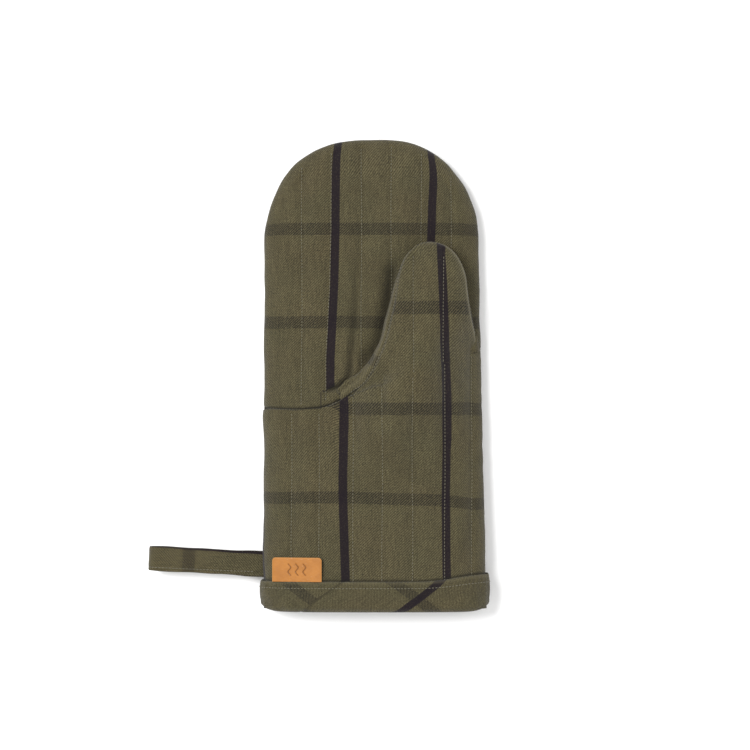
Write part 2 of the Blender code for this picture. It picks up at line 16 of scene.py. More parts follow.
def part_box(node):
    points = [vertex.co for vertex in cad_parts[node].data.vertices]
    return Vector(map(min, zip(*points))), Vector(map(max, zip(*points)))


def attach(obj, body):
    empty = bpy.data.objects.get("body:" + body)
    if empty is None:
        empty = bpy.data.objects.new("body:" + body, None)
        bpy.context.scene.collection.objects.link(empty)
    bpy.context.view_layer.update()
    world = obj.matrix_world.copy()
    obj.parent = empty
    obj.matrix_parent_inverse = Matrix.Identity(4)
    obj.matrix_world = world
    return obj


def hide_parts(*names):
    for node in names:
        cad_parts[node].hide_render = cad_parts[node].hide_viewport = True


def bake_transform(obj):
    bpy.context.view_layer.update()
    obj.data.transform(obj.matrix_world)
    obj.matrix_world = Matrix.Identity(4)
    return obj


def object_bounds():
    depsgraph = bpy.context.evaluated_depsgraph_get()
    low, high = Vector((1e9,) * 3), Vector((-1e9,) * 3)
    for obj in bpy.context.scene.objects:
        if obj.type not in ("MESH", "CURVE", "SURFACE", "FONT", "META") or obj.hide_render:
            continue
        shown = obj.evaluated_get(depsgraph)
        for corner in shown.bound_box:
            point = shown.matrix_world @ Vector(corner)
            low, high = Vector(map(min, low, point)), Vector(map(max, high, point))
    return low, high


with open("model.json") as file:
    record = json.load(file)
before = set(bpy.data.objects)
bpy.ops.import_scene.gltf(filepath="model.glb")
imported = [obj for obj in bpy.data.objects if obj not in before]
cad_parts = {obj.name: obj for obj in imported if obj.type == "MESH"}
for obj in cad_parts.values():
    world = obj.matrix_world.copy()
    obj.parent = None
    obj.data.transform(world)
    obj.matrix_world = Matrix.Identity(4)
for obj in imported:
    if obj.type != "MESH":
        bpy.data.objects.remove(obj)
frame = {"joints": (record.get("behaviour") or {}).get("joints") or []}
cad_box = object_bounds()

MM = 0.001

# The mitt's form, as in the CAD model
CUFF_Y = cad_box[0].y / MM
FINGER_TIP_Y = cad_box[1].y / MM
DOME_LENGTH = 80.0
DOME_Y = FINGER_TIP_Y - DOME_LENGTH
HAND_HALF = 75.0
CUFF_HALF = 78.0
HAND_SHIFT = -2.5
DOME_FULLNESS = 2.4
PALM_FULLNESS = 3.0
BACK_FULLNESS = 3.6
BACK_MARGIN = 1.5
HAND_SEAM = 12.0
CUFF_SEAM = 16.0
HAND_TOP = 26.0
CUFF_TOP = 40.0
CUFF_LIFT = 2.9
LIFT_END_Y = -105.5
LIFT_FADE = 40.0
PANEL_END_Y = -163.0

# The binding's outer edge, which rises a little on the right
BINDING_TOP_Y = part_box("cuff_binding")[1].y / MM
BINDING_EDGE_Y = BINDING_TOP_Y + 2.0
RIGHT_RISE = 4.6
LOWEST_THREAD = 0.6
LOWEST_EDGE = 0.3

# Depths of the sheets under the outer face: (outer side, inner side)
OUTER_SHEET = (0.0, 0.8)
BATTING_SHEET = (1.3, 3.9)
LINING_SHEET = (4.4, 5.0)

# Left edge of the front panel, from the side seam to the tip of the thumb, and its right edge
SEAM_EDGE = (
    (-75.9, -23.4), (-62.0, -24.0), (-50.0, -24.0), (-37.3, -22.7), (-30.4, -20.6),
    (-24.0, -17.3),
)
THUMB_LEFT_EDGE = (
    (-24.0, -17.3), (-18.8, -14.9), (-14.0, -11.6), (-8.6, -6.9), (-4.2, -1.2), (0.6, 7.6),
    (4.5, 17.8), (8.0, 28.0), (10.4, 38.0), (12.4, 48.0), (14.3, 60.0), (16.4, 71.5),
    (20.4, 81.5), (26.4, 88.4), (32.6, 91.4), (38.2, 92.2),
)
THUMB_RIGHT_EDGE = (
    (73.6, 17.0), (71.6, 22.0), (68.9, 34.5), (66.4, 46.0), (64.6, 58.0), (63.4, 69.0),
    (60.6, 78.0), (55.6, 85.8), (50.0, 90.0), (44.0, 91.9), (38.2, 92.2),
)
# How far the under side of the thumb bulges out past the left edge, at each of its points
UNDER_BULGE = (7.0, 8.2, 9.0, 8.6, 7.2, 5.4, 4.4, 4.2, 4.2, 3.8, 2.4, 1.0, 0.6, 0.4, 0.3, 0.2)
CROTCH = THUMB_LEFT_EDGE[0]
THUMB_HEEL = THUMB_RIGHT_EDGE[0]
THUMB_RISE = 24.2
THUMB_CLEARANCE = 2.2
THUMB_EDGE_HEIGHT = 9.0
THUMB_BED_DROP = 0.35
ROOT_RISE_LENGTH = 75.0
CROTCH_SWELL = 3.0
THUMB_NARROW = 30.0
THUMB_LEFT_CUT = 0.17
THUMB_TIP = 34.0
THUMB_TIP_FULLNESS = 2.2
UNDER_TUCK = 5.0
UNDER_GAP = 0.9
# Rough lengths, which settle how many rows and columns the grids of the panels have
WRIST_RUN = 140.0
SEAM_RUN = 66.0
THUMB_RUN = 150.0
PALM_RUN = 110.0
BACK_RUN = 250.0
DOME_RUN = 110.0
UNDER_LEFT_RUN = 34.0
UNDER_FLAT_RUN = 80.0
UNDER_RIGHT_RUN = 16.0
PANEL_WIDTH = 150.0
SEAM_START_Y = -62.0
THUMB_OPENING = 58.0

# Quilting
QUILT_PITCH = 20.9
PALM_ROWS = [-51.3 + QUILT_PITCH * index for index in range(6)]
WRIST_ROWS = (-58.2, -39.0, -15.3, 5.0, 26.0, 48.6, 67.5)
BACK_ROWS = [-52.3 + QUILT_PITCH * index for index in range(6)]
THUMB_ROWS = (26.6, 47.4)
ROW_DEPTH = 1.35
PUFF = 0.55
ROW_FREE = 9.0
ROW_START_Y = -143.0
ROW_LOW_Y = -143.5
LABEL_TOP_Y = -127.0
LABEL_RIGHT_X = -36.0
ROOT_OVERLAP = 12.0
THUMB_END_Y = 93.0
THUMB_MIDDLE = 38.0
ROW_FADE = 4.0
STITCH_PITCH = 2.4
STITCH_DENT = 0.22
PUCKER = 0.16
SWELL = 0.42
RIPPLE = 0.14

GRID = 1.1


def mix(start, end, share):
    return start + (end - start) * share


def smooth_step(share):
    share = np.clip(share, 0.0, 1.0)
    return share * share * (3.0 - 2.0 * share)


def arch(share, fullness):
    return np.maximum(0.0, 1.0 - np.abs(share) ** fullness) ** (1.0 / fullness)


def fade(distance, width):
    return np.exp(-((distance / width) ** 2))


def steps(length):
    return max(4, int(round(length / GRID)))


# --- Fields of small irregularity ---

rng = np.random.default_rng(7)
WAVES = rng.uniform(-1.0, 1.0, (24, 2))
PHASES = rng.uniform(0.0, 2.0 * math.pi, 24)


def undulation(x, y, length, seed=0):
    """A smooth random field of about unit height, with bumps of about this length."""
    total = np.zeros_like(x, dtype=float)
    for index in range(8):
        direction = WAVES[(index + seed) % 24] * 2.0 * math.pi / length
        total += np.sin(direction[0] * x + direction[1] * y + PHASES[(index * 5 + seed) % 24])
    return total / 3.0


# --- The mitt's outer form ---


def cuff_share(y):
    return np.clip((DOME_Y - y) / (DOME_Y - CUFF_Y), 0.0, 1.0)


def cuff_lift(y):
    return CUFF_LIFT * smooth_step((LIFT_END_Y - y) / LIFT_FADE)


def seam_height(y):
    return mix(HAND_SEAM, CUFF_SEAM, smooth_step(cuff_share(y)))


def mitt_top(y):
    return mix(HAND_TOP, CUFF_TOP, smooth_step(cuff_share(y)))


def centre_x(y):
    return mix(HAND_SHIFT, 0.0, cuff_share(y))


def half_width(y):
    return mix(HAND_HALF, CUFF_HALF, cuff_share(y)) * dome_share(y)


def dome_share(y):
    return arch(np.maximum(0.0, y - DOME_Y) / DOME_LENGTH, DOME_FULLNESS)


def side_share(x, y):
    """-1 at the left side of the mitt, 0 in its middle, 1 at the right side."""
    return np.clip((x - centre_x(y)) / np.maximum(half_width(y), 1e-6), -1.0, 1.0)


def palm_height(x, y):
    seam = seam_height(y)
    rise = (mitt_top(y) - seam) * arch(side_share(x, y), PALM_FULLNESS) * dome_share(y)
    return seam + 0.15 + rise + cuff_lift(y)


def back_height(share, y, dome):
    seam = seam_height(y)
    drop = np.minimum((seam + BACK_MARGIN) * arch(share, BACK_FULLNESS) * dome, seam - 0.2)
    return seam - 0.15 - drop + cuff_lift(y)


def row_field(x, rows, start, end):
    """0 on a row of quilting, 1 half way between two rows or off their ends; the distance
    from the nearest row; and how firmly the rows hold the cloth here."""
    nearest = np.full_like(x, 1e3, dtype=float)
    for row in rows:
        nearest = np.minimum(nearest, np.abs(x - row))
    share = np.clip(nearest / (QUILT_PITCH / 2), 0.0, 1.0)
    puff = np.sin(share * math.pi / 2) ** 0.7
    held = smooth_step(start / ROW_FADE) * smooth_step(end / ROW_FADE)
    return mix(1.0, puff, held), nearest, held


def quilted(x, y, rows, start, end):
    """Height of quilting over the panel's form: channels along the rows, soft swells between."""
    puff, nearest, held = row_field(x, rows, start, end)
    height = PUFF * puff - ROW_DEPTH * (1.0 - puff)
    stitch = 0.5 + 0.5 * np.cos(2.0 * math.pi * y / STITCH_PITCH)
    height -= STITCH_DENT * stitch * fade(nearest, 1.6) * held
    pucker = undulation(x * 0.55, y * 1.5, 13.0, 3)
    height += PUCKER * pucker * fade(nearest - 4.5, 4.5) * held
    height += SWELL * undulation(x, y, 46.0, 9) + RIPPLE * undulation(x, y, 17.0, 14)
    return height


# --- Grids: arrays of (rows, columns, 3) ---


def spread(count, fullness=PALM_FULLNESS):
    """Shares from -1 to 1, closer together where a section turns down."""
    turn = -np.cos(np.pi * np.arange(count + 1) / count)
    by_angle = np.sign(turn) * np.abs(turn) ** (2.0 / fullness)
    return mix(by_angle, np.linspace(-1.0, 1.0, count + 1), 0.35)


def run_of(points, axis):
    """How far each point lies along its line, which follows this axis of the array."""
    lengths = np.linalg.norm(np.diff(points, axis=axis), axis=-1)
    return np.insert(np.cumsum(lengths, axis=axis), 0, 0.0, axis=axis)


def along(points, count):
    """Points evenly along a smooth line through these ones, and where in the list each lies."""
    points = np.array(points, float)
    fine = np.linspace(0.0, len(points) - 1.0, 40 * len(points))
    before = np.vstack([2 * points[0] - points[1], points, 2 * points[-1] - points[-2]])
    index = np.minimum(fine.astype(int), len(points) - 2)
    t = (fine - index)[:, None]
    a, b, c, d = (before[index + k] for k in range(4))
    curve = 0.5 * (
        2 * b + (c - a) * t + (2 * a - 5 * b + 4 * c - d) * t**2 + (3 * b - a - 3 * c + d) * t**3
    )
    run = run_of(curve, 0)
    wanted = np.linspace(0.0, run[-1], count + 1)
    places = np.interp(wanted, run, fine)
    x = np.interp(wanted, run, curve[:, 0])
    y = np.interp(wanted, run, curve[:, 1])
    return np.stack([x, y], 1), places


def side_line(sign, start, end, count):
    y = np.linspace(start, end, count + 1)
    return np.stack([centre_x(y) + sign * half_width(y), y], 1)


def front_edges():
    """Left and right ends of each row of the front panel, and how far along the thumb it is."""
    lower = steps(WRIST_RUN)
    middle = steps(SEAM_RUN)
    upper = steps(THUMB_RUN)
    left = [side_line(-1, PANEL_END_Y, SEAM_EDGE[0][1], lower)]
    left.append(along(SEAM_EDGE, middle)[0][1:])
    thumb_left, places = along(THUMB_LEFT_EDGE, upper)
    left.append(thumb_left[1:])
    right = [side_line(1, PANEL_END_Y, SEAM_START_Y, lower)]
    right.append(side_line(1, SEAM_START_Y, THUMB_HEEL[1], middle)[1:])
    right.append(along(THUMB_RIGHT_EDGE, upper)[0][1:])
    right[2][:, 0] += np.linspace(right[1][-1, 0] - THUMB_HEEL[0], 0.0, upper)
    run = np.concatenate([np.full(lower + middle, 0.0), np.linspace(0.0, 1.0, upper + 1)])
    bulge = np.interp(places, range(len(UNDER_BULGE)), UNDER_BULGE)
    return np.vstack(left), np.vstack(right), run, lower + middle, bulge


def bed_height(x, y):
    """The face under the folded thumb, flatter than the palm elsewhere."""
    seam = seam_height(y)
    return seam + (mitt_top(y) - seam) * (1.0 - THUMB_BED_DROP * np.abs(side_share(x, y)) ** 4)


def root_y(x):
    """The thumb's root line, from the crotch to where the thumb meets the right side."""
    slope = (THUMB_HEEL[1] - CROTCH[1]) / (THUMB_HEEL[0] - CROTCH[0])
    return CROTCH[1] + (x - CROTCH[0]) * slope


def front_height(x, y, run, across):
    """Height of the front panel: the wrist swells up to the top of the folded thumb."""
    middle = (CROTCH[0] + THUMB_HEEL[0]) / 2
    q = (x - middle) / (THUMB_HEEL[0] - middle)
    bell = np.maximum(0.0, 1.0 - q * q) ** 1.5
    climb = smooth_step((y - root_y(x) + ROOT_RISE_LENGTH) / ROOT_RISE_LENGTH)
    wrist = bell * climb * THUMB_RISE
    wrist += CROTCH_SWELL * fade(x - CROTCH[0], 9.0) * fade(y - CROTCH[1], 9.0)
    # Over the thumb the section opens from a mound into a tube with its own edges
    reach = run * THUMB_RUN
    opened = smooth_step(reach / THUMB_OPENING)
    narrow = smooth_step((1.0 - run) * THUMB_RUN / THUMB_NARROW)
    q_left = -1.0 + THUMB_LEFT_CUT * narrow
    q_tube = mix(q_left, 1.0, across)
    past_tip = np.clip((reach - (THUMB_RUN - THUMB_TIP)) / THUMB_TIP, 0.0, 1.0)
    dome = arch(past_tip, THUMB_TIP_FULLNESS)
    edge = THUMB_CLEARANCE + THUMB_EDGE_HEIGHT
    tube = edge + (THUMB_RISE - edge) * arch(q_tube, PALM_FULLNESS) * dome
    q_bell = 2.0 * across - 1.0
    mound = np.maximum(0.0, 1.0 - q_bell**2) ** 1.5 * THUMB_RISE
    mound += CROTCH_SWELL * fade(across, 0.12)
    thumb = mix(mound, tube, opened)
    rise = np.where(run > 0.0, thumb, wrist)
    base = mix(palm_height(x, y), bed_height(x, y), np.where(run > 0.0, opened, 0.0))
    return base + rise


def front_grid():
    left, right, run, root_row, bulge = front_edges()
    across = (spread(steps(PANEL_WIDTH)) + 1.0) / 2.0
    x = left[:, :1] * (1.0 - across) + right[:, :1] * across
    y = left[:, 1:] * (1.0 - across) + right[:, 1:] * across
    half = half_width(y)
    x = np.clip(x, centre_x(y) - half, centre_x(y) + half)
    run = np.broadcast_to(run[:, None], x.shape)
    across = np.broadcast_to(across, x.shape)
    z = front_height(x, y, run, across)
    points = np.stack([x, y, z], 2)
    span = np.linalg.norm(right - left, axis=1)[:, None]
    from_left = across * span
    from_right = (1.0 - across) * span
    return points, run, from_left, from_right, root_row, bulge


def bent(start, out, end, t):
    """A point on the curve that leaves start towards out and comes back from it to end."""
    return (1 - t) ** 3 * start + 3 * (1 - t) ** 2 * t * out + 3 * (1 - t) * t**2 * out + t**3 * end


def under_grid(front, root_row, bulge):
    """Under side of the thumb: from the front panel's left edge out, under, and to its right edge."""
    left = front[root_row:, 0]
    right = front[root_row:, -1]
    rows = len(left)
    flow = np.gradient(left[:, :2], axis=0)
    flow /= np.maximum(np.linalg.norm(flow, axis=1), 1e-6)[:, None]
    outward = np.stack([-flow[:, 1], flow[:, 0]], 1)
    inward = right[:, :2] - left[:, :2]
    span = np.maximum(np.linalg.norm(inward, axis=1), 1e-6)
    inward /= span[:, None]
    tuck = np.minimum(UNDER_TUCK, 0.3 * span)
    lift = np.linspace(0.0, 1.0, rows)
    left_count = steps(UNDER_LEFT_RUN)
    flat_count = steps(UNDER_FLAT_RUN)
    right_count = steps(UNDER_RIGHT_RUN)
    result = []
    bed_left = left[:, :2] + inward * tuck[:, None]
    bed_right = right[:, :2] - inward * tuck[:, None]

    def floor_height(place):
        return palm_height(place[:, 0], place[:, 1]) + UNDER_GAP

    for index in range(left_count + 1):
        t = index / left_count
        out = left[:, :2] + outward * (bulge * 4.0 / 3.0)[:, None]
        place = bent(left[:, :2], out, bed_left, t)
        low = np.maximum(floor_height(place), floor_height(bed_left) - 1.0)
        high = left[:, 2]
        down = smooth_step(t)
        height = np.maximum(mix(high, low, down), low)
        result.append(np.column_stack([place, height]))
    for index in range(1, flat_count + 1):
        place = mix(bed_left, bed_right, index / flat_count)
        result.append(np.column_stack([place, floor_height(place)]))
    for index in range(1, right_count + 1):
        t = index / right_count
        out = right[:, :2] + inward * 0.8 * np.minimum(1.0, lift * 8.0)[:, None]
        place = bent(bed_right, out, right[:, :2], t)
        low = floor_height(bed_right)
        height = mix(low, right[:, 2], smooth_step(t))
        result.append(np.column_stack([place, height]))
    return np.stack(result, 1)


def dome_rows(count):
    """How far up each row over the fingertips lies."""
    angle = np.linspace(0.0, math.pi / 2, count + 1)[1:, None]
    return DOME_Y + DOME_LENGTH * np.sin(angle) ** (2.0 / DOME_FULLNESS)


def palm_grid():
    """From the palm seam and the thumb's root line over the fingertips."""
    across = spread(steps(PANEL_WIDTH))
    low = np.array(SEAM_EDGE)
    straight = steps(PALM_RUN)
    dome = steps(DOME_RUN)
    share = across[None, :]
    y = np.full_like(share, -20.0)
    for _ in range(4):
        x = centre_x(y) + half_width(y) * share
        y = np.where(x < low[-1, 0], np.interp(x, low[:, 0], low[:, 1]), root_y(x))
    t = np.linspace(0.0, 1.0, straight + 1)[:, None]
    y_straight = mix(y, DOME_Y, t)
    y_all = np.vstack([y_straight, np.broadcast_to(dome_rows(dome), (dome, across.size))])
    x = centre_x(y_all) + half_width(y_all) * share
    z = palm_height(x, y_all)
    start = y_all - np.broadcast_to(y, y_all.shape)
    return np.stack([x, y_all, z], 2), start


def back_grid():
    across = spread(steps(PANEL_WIDTH), BACK_FULLNESS)
    straight = steps(BACK_RUN)
    dome = steps(DOME_RUN)
    y_straight = np.linspace(PANEL_END_Y, DOME_Y, straight + 1)[:, None]
    rows = np.vstack([y_straight, dome_rows(dome)])
    y = np.broadcast_to(rows, (straight + dome + 1, across.size))
    x = centre_x(y) + half_width(y) * across[None, :]
    z = back_height(across[None, :], y, dome_share(y))
    return np.stack([x, y, z], 2)


def normals_of(points, out):
    """Unit normals of a grid, on the side that this direction points to."""
    along_rows = np.gradient(points, axis=0)
    along_columns = np.gradient(points, axis=1)
    normal = np.cross(along_columns, along_rows)
    length = np.linalg.norm(normal, axis=2, keepdims=True)
    weak = length[..., 0] < 1e-4
    normal = normal / np.maximum(length, 1e-9)
    if (normal[..., 2].mean() > 0.0) != (out > 0):
        normal = -normal
    normal[weak] = (0.0, 0.6, 0.8 * out)
    return normal


# --- Meshes ---


def add_mesh(name, points, faces, attributes, material):
    """points in millimetres; attributes are (name, array of one or three values a point)."""
    mesh = bpy.data.meshes.new(name)
    mesh.from_pydata((points * MM).tolist(), [], faces)
    for label, values in attributes:
        kind = "FLOAT_VECTOR" if values.ndim == 2 else "FLOAT"
        layer = mesh.attributes.new(label, kind, "POINT")
        layer.data.foreach_set("vector" if values.ndim == 2 else "value", values.ravel())
    mesh.materials.append(material)
    mesh.shade_smooth()
    obj = bpy.data.objects.new(name, mesh)
    bpy.context.scene.collection.objects.link(obj)
    return obj


def grid_faces(rows, columns, first=0, flip=False, wrap=False):
    faces = []
    for i in range(rows - 1):
        base = first + i * columns
        for j in range(columns if wrap else columns - 1):
            k = (j + 1) % columns
            face = (base + j, base + k, base + columns + k, base + columns + j)
            faces.append(face[::-1] if flip else face)
    return faces


def rim_faces(rows, columns, second, flip):
    """Walls between the edges of two grids, of which the second starts at this number."""
    rim = [j for j in range(columns)]
    rim += [i * columns + columns - 1 for i in range(1, rows)]
    rim += [(rows - 1) * columns + j for j in range(columns - 2, -1, -1)]
    rim += [i * columns for i in range(rows - 2, 0, -1)]
    faces = []
    for index, low in enumerate(rim):
        high = rim[(index + 1) % len(rim)]
        face = (low, low + second, high + second, high)
        faces.append(face[::-1] if flip else face)
    return faces


def turned_inward(points, normal, row, column):
    """Whether a grid's faces would turn away from its normals, read at one of its points."""
    along_row = points[row, column + 1] - points[row, column]
    along_column = points[row + 1, column] - points[row, column]
    return float(np.dot(np.cross(along_row, along_column), normal[row, column])) < 0.0


def closed_sheet(name, grids, depths, material, step, trim):
    """A sheet between two depths under a grid that follows a height field.

    trim leaves out this many rows at the start and end, and columns at the left and right.
    """
    rows, columns = grids[2].shape
    kept = (slice(trim[0], rows - trim[1], step), slice(trim[2], columns - trim[3], step))
    base, normal, height, cloth, wear_and_shade = (grid[kept] for grid in grids)
    raised = base + normal * height[..., None]
    outer = raised - normal * depths[0]
    inner = raised - normal * depths[1]
    rows, columns = outer.shape[:2]
    points = np.concatenate([outer.reshape(-1, 3), inner.reshape(-1, 3)])
    flip = turned_inward(outer, normal, rows // 2, columns // 2)
    faces = grid_faces(rows, columns, 0, flip)
    faces += grid_faces(rows, columns, rows * columns, not flip)
    faces += rim_faces(rows, columns, rows * columns, flip)
    flat_cloth = cloth.reshape(-1, 3)
    flat_wear_and_shade = wear_and_shade.ravel()
    attributes = [
        ("cloth", np.concatenate([flat_cloth, flat_cloth])),
        ("wear_and_shade", np.concatenate([flat_wear_and_shade, np.zeros_like(flat_wear_and_shade)])),
    ]
    return add_mesh(name, points, faces, attributes, material)


def unrolled(points, normal, top, stripe_x, band_y):
    """Cloth coordinates: across the warp from a stripe's middle, and along it from a band's."""
    x, y, z = (points[..., k] for k in range(3))
    level = np.linalg.norm(normal[..., :2], axis=2)
    turn = normal[..., :2] / np.maximum(level, 1e-4)[..., None]
    drop = 0.85 * np.maximum(0.0, top - z) * smooth_step(level * 2.0)
    u = x + drop * turn[..., 0]
    v = y + drop * turn[..., 1]
    return np.stack([u - stripe_x(u, y), band_y(u, v), np.zeros_like(u)], 2)


# --- Materials ---


class Value:
    """A shader value. Adding, subtracting, multiplying or dividing it adds a Math node."""

    def __init__(self, nodes, socket):
        self.nodes = nodes
        self.socket = socket

    def __add__(self, other):
        return self.nodes.math("ADD", self, other)

    def __radd__(self, other):
        return self.nodes.math("ADD", other, self)

    def __sub__(self, other):
        return self.nodes.math("SUBTRACT", self, other)

    def __rsub__(self, other):
        return self.nodes.math("SUBTRACT", other, self)

    def __mul__(self, other):
        return self.nodes.math("MULTIPLY", self, other)

    def __truediv__(self, other):
        return self.nodes.math("DIVIDE", self, other)


class Nodes:
    """Short ways to add shader nodes to one material."""

    def __init__(self, name):
        self.material = bpy.data.materials.new(name)
        self.material.use_nodes = True
        self.tree = self.material.node_tree
        self.shader = self.tree.nodes["Principled BSDF"]

    def put(self, socket, value):
        if isinstance(value, Value):
            self.tree.links.new(value.socket, socket)
        elif value is not None:
            socket.default_value = value

    def look(self, **values):
        """Sets the shader's sockets, each named with _ for the spaces in its name."""
        for name, value in values.items():
            self.put(self.shader.inputs[name.replace("_", " ")], value)

    def add(self, kind, output, inputs=(), **settings):
        """A node of this kind, with its settings and its inputs, and the value that it gives."""
        node = self.tree.nodes.new("ShaderNode" + kind)
        for name, value in settings.items():
            setattr(node, name, value)
        for name, value in dict(inputs).items():
            self.put(node.inputs[name], value)
        return Value(self, node.outputs[output])

    def math(self, operation, *values):
        return self.add("Math", 0, enumerate(values), operation=operation)

    def attribute(self, name, output="Fac"):
        return self.add("Attribute", output, attribute_name=name)

    def cloth(self):
        """Cloth coordinates in millimetres: the vector, and its first two parts."""
        place = self.attribute("cloth", "Vector")
        parts = self.tree.nodes.new("ShaderNodeSeparateXYZ")
        self.put(parts.inputs[0], place)
        return place, Value(self, parts.outputs[0]), Value(self, parts.outputs[1])

    def join(self, x, y, z=0.0):
        return self.add("CombineXYZ", 0, enumerate((x, y, z)))

    def noise(self, vector, scale, detail=2.0, rough=0.5):
        inputs = {"Vector": vector, "Scale": scale, "Detail": detail, "Roughness": rough}
        return self.add("TexNoise", "Fac", inputs)

    def blend(self, share, a, b, mode="MIX"):
        node = self.tree.nodes.new("ShaderNodeMix")
        node.data_type = "RGBA"
        node.blend_type = mode
        wanted = {"Factor": ("VALUE", share), "A": ("RGBA", a), "B": ("RGBA", b)}
        for socket in node.inputs:
            kind, value = wanted.get(socket.name, ("", None))
            if socket.type == kind:
                self.put(socket, value)
        return Value(self, [out for out in node.outputs if out.type == "RGBA"][0])

    def ramp(self, value, low, high):
        inputs = {"Value": value, "From Min": low, "From Max": high}
        return self.add("MapRange", "Result", inputs, interpolation_type="SMOOTHSTEP")

    def bump(self, height, distance, strength):
        inputs = {"Distance": distance, "Strength": strength, "Height": height}
        return self.add("Bump", "Normal", inputs)


def colour(red, green, blue):
    return (red, green, blue, 1.0)


# Stripes run up the cloth and bands across it: the distance between two, and half of a width
STRIPE_PITCH = 70.8
STRIPE_HALF = 3.0
BAND_PITCH = 65.2
BAND_HALF = 4.3
YARN = 0.47
BIAS_YARN = 0.37
LINING_YARN = 0.5
WARP_UP = 0.45
SLUB_SHIFT = 3.7
SLUB_LENGTH = 0.12

# Each pair is the two ends of the colours that one set of yarns has
OLIVE_WARP = (colour(0.064, 0.054, 0.0255), colour(0.112, 0.095, 0.046))
OLIVE_WEFT = (colour(0.025, 0.0205, 0.0090), colour(0.046, 0.038, 0.0170))
DARK_YARNS = (colour(0.0050, 0.0014, 0.0046), colour(0.0045, 0.0030, 0.0022))
LINING_WARP = (colour(0.36, 0.33, 0.25), colour(0.42, 0.39, 0.31))
LINING_WEFT = (colour(0.32, 0.29, 0.22), colour(0.40, 0.36, 0.28))
DARK_FLECK = colour(0.010, 0.009, 0.005)
LIGHT_FLECK = colour(0.150, 0.132, 0.072)
WORN_CLOTH = colour(0.170, 0.150, 0.088)
# The near black that painted shade darkens the cloth towards
PAINTED_SHADE_CLOTH = colour(0.004, 0.0035, 0.0015)
# Thread: its own colour, darkened towards the first of these as painted shade between the plies
THREAD = (colour(0.060, 0.054, 0.029), colour(0.135, 0.122, 0.072))
WADDING = (colour(0.62, 0.59, 0.50), colour(0.80, 0.78, 0.71))
LEATHER = (colour(0.300, 0.112, 0.012), colour(0.365, 0.142, 0.018))
LEATHER_GRAIN = colour(0.22, 0.074, 0.009)
LEATHER_MARK = colour(0.085, 0.028, 0.008)
LEATHER_WORN = colour(0.47, 0.24, 0.085)
PAPER = (colour(0.94, 0.94, 0.94), colour(0.96, 0.96, 0.96))


def woven_material(name, warp, weft, stripe=None, yarn=YARN, speckle=1.0):
    """Twill cloth. Its coordinates come from the mesh's cloth attribute, in millimetres."""
    n = Nodes(name)
    _, u, v = n.cloth()
    place = n.join(u, v)
    wander = (n.noise(place, 0.05, 1.0) - 0.5) * 1.6
    u_way = u + wander
    v_way = v + wander
    # Which yarn lies on top: two over, two under, one step along each time
    column = n.math("FLOOR", u_way / yarn)
    row = n.math("FLOOR", v_way / yarn)
    warp_up = n.math("LESS_THAN", n.math("FRACT", (column - row) * 0.25), WARP_UP)
    warp_round = n.math("SINE", n.math("FRACT", u_way / yarn) * math.pi)
    weft_round = n.math("SINE", n.math("FRACT", v_way / yarn) * math.pi)
    relief = warp_up * warp_round + (1.0 - warp_up) * weft_round * 0.85
    # Yarns vary along their own length
    warp_slub = n.noise(n.join(column * SLUB_SHIFT, v * SLUB_LENGTH), 1.0)
    weft_slub = n.noise(n.join(u * SLUB_LENGTH, row * SLUB_SHIFT), 1.0)
    warp_tint = n.blend(n.ramp(warp_slub, 0.3, 0.7), *warp)
    weft_tint = n.blend(n.ramp(weft_slub, 0.3, 0.7), *weft)
    if stripe:
        to_stripe = n.math("PINGPONG", u, STRIPE_PITCH / 2)
        to_band = n.math("PINGPONG", v, BAND_PITCH / 2)
        in_stripe = 1.0 - n.ramp(to_stripe, STRIPE_HALF - 0.3, STRIPE_HALF + 0.3)
        in_band = 1.0 - n.ramp(to_band, BAND_HALF - 0.4, BAND_HALF + 0.4)
        warp_tint = n.blend(in_stripe, warp_tint, stripe[0])
        weft_tint = n.blend(in_band, weft_tint, stripe[1])
        warp_tint = n.blend(in_band * 0.26, warp_tint, stripe[1])
        weft_tint = n.blend(in_stripe * 0.72, weft_tint, stripe[0])
    tint = n.blend(warp_up, weft_tint, warp_tint)
    fleck = n.noise(place, 0.95, 3.0, 0.75)
    tint = n.blend((1.0 - n.ramp(fleck, 0.32, 0.5)) * (0.72 * speckle), tint, DARK_FLECK)
    tint = n.blend(n.ramp(fleck, 0.52, 0.7) * (0.5 * speckle), tint, LIGHT_FLECK)
    if stripe:
        tint = n.blend(in_stripe * 0.6, tint, stripe[0])
    # Patches and streaks of a lighter or a redder shade
    patch = n.noise(place, 0.04, 3.0)
    streak = n.noise(n.join(u * 0.4, v * 0.03), 1.0, 3.0)
    shade = 0.58 + (patch + streak) * 0.40
    red = shade * (0.93 + n.noise(n.join(v, u), 0.028, 2.0) * 0.14)
    tint = n.blend(1.0, tint, n.join(red, shade, shade), "MULTIPLY")
    # The per-point attribute read here lightens the cloth above zero as real wear, and below zero
    # darkens it as painted shade in seams, creases, hollows and under the binding's edge.
    wear_and_shade = n.attribute("wear_and_shade")
    tint = n.blend(n.math("MAXIMUM", wear_and_shade, 0.0) * 0.55, tint, WORN_CLOTH)
    # Painted shade: negative values darken the cloth
    tint = n.blend(n.math("MAXIMUM", wear_and_shade * -1.0, 0.0) * 0.85, tint, PAINTED_SHADE_CLOTH)
    height = relief + n.noise(place, 2.6, 3.0, 0.7) * 0.9
    n.look(Base_Color=tint, Roughness=0.78 + fleck * 0.2, Normal=n.bump(height, 0.00016, 0.75))
    n.look(Sheen_Weight=0.1, Sheen_Roughness=0.45, Specular_IOR_Level=0.25)
    return n.material


def batting_material():
    n = Nodes("cotton_wadding")
    loft = n.noise(n.attribute("cloth", "Vector"), 0.6, 5.0, 0.7)
    tint = n.blend(n.ramp(loft, 0.3, 0.7), *WADDING)
    n.look(Base_Color=tint, Roughness=1.0, Normal=n.bump(loft, 0.0006, 0.8))
    return n.material


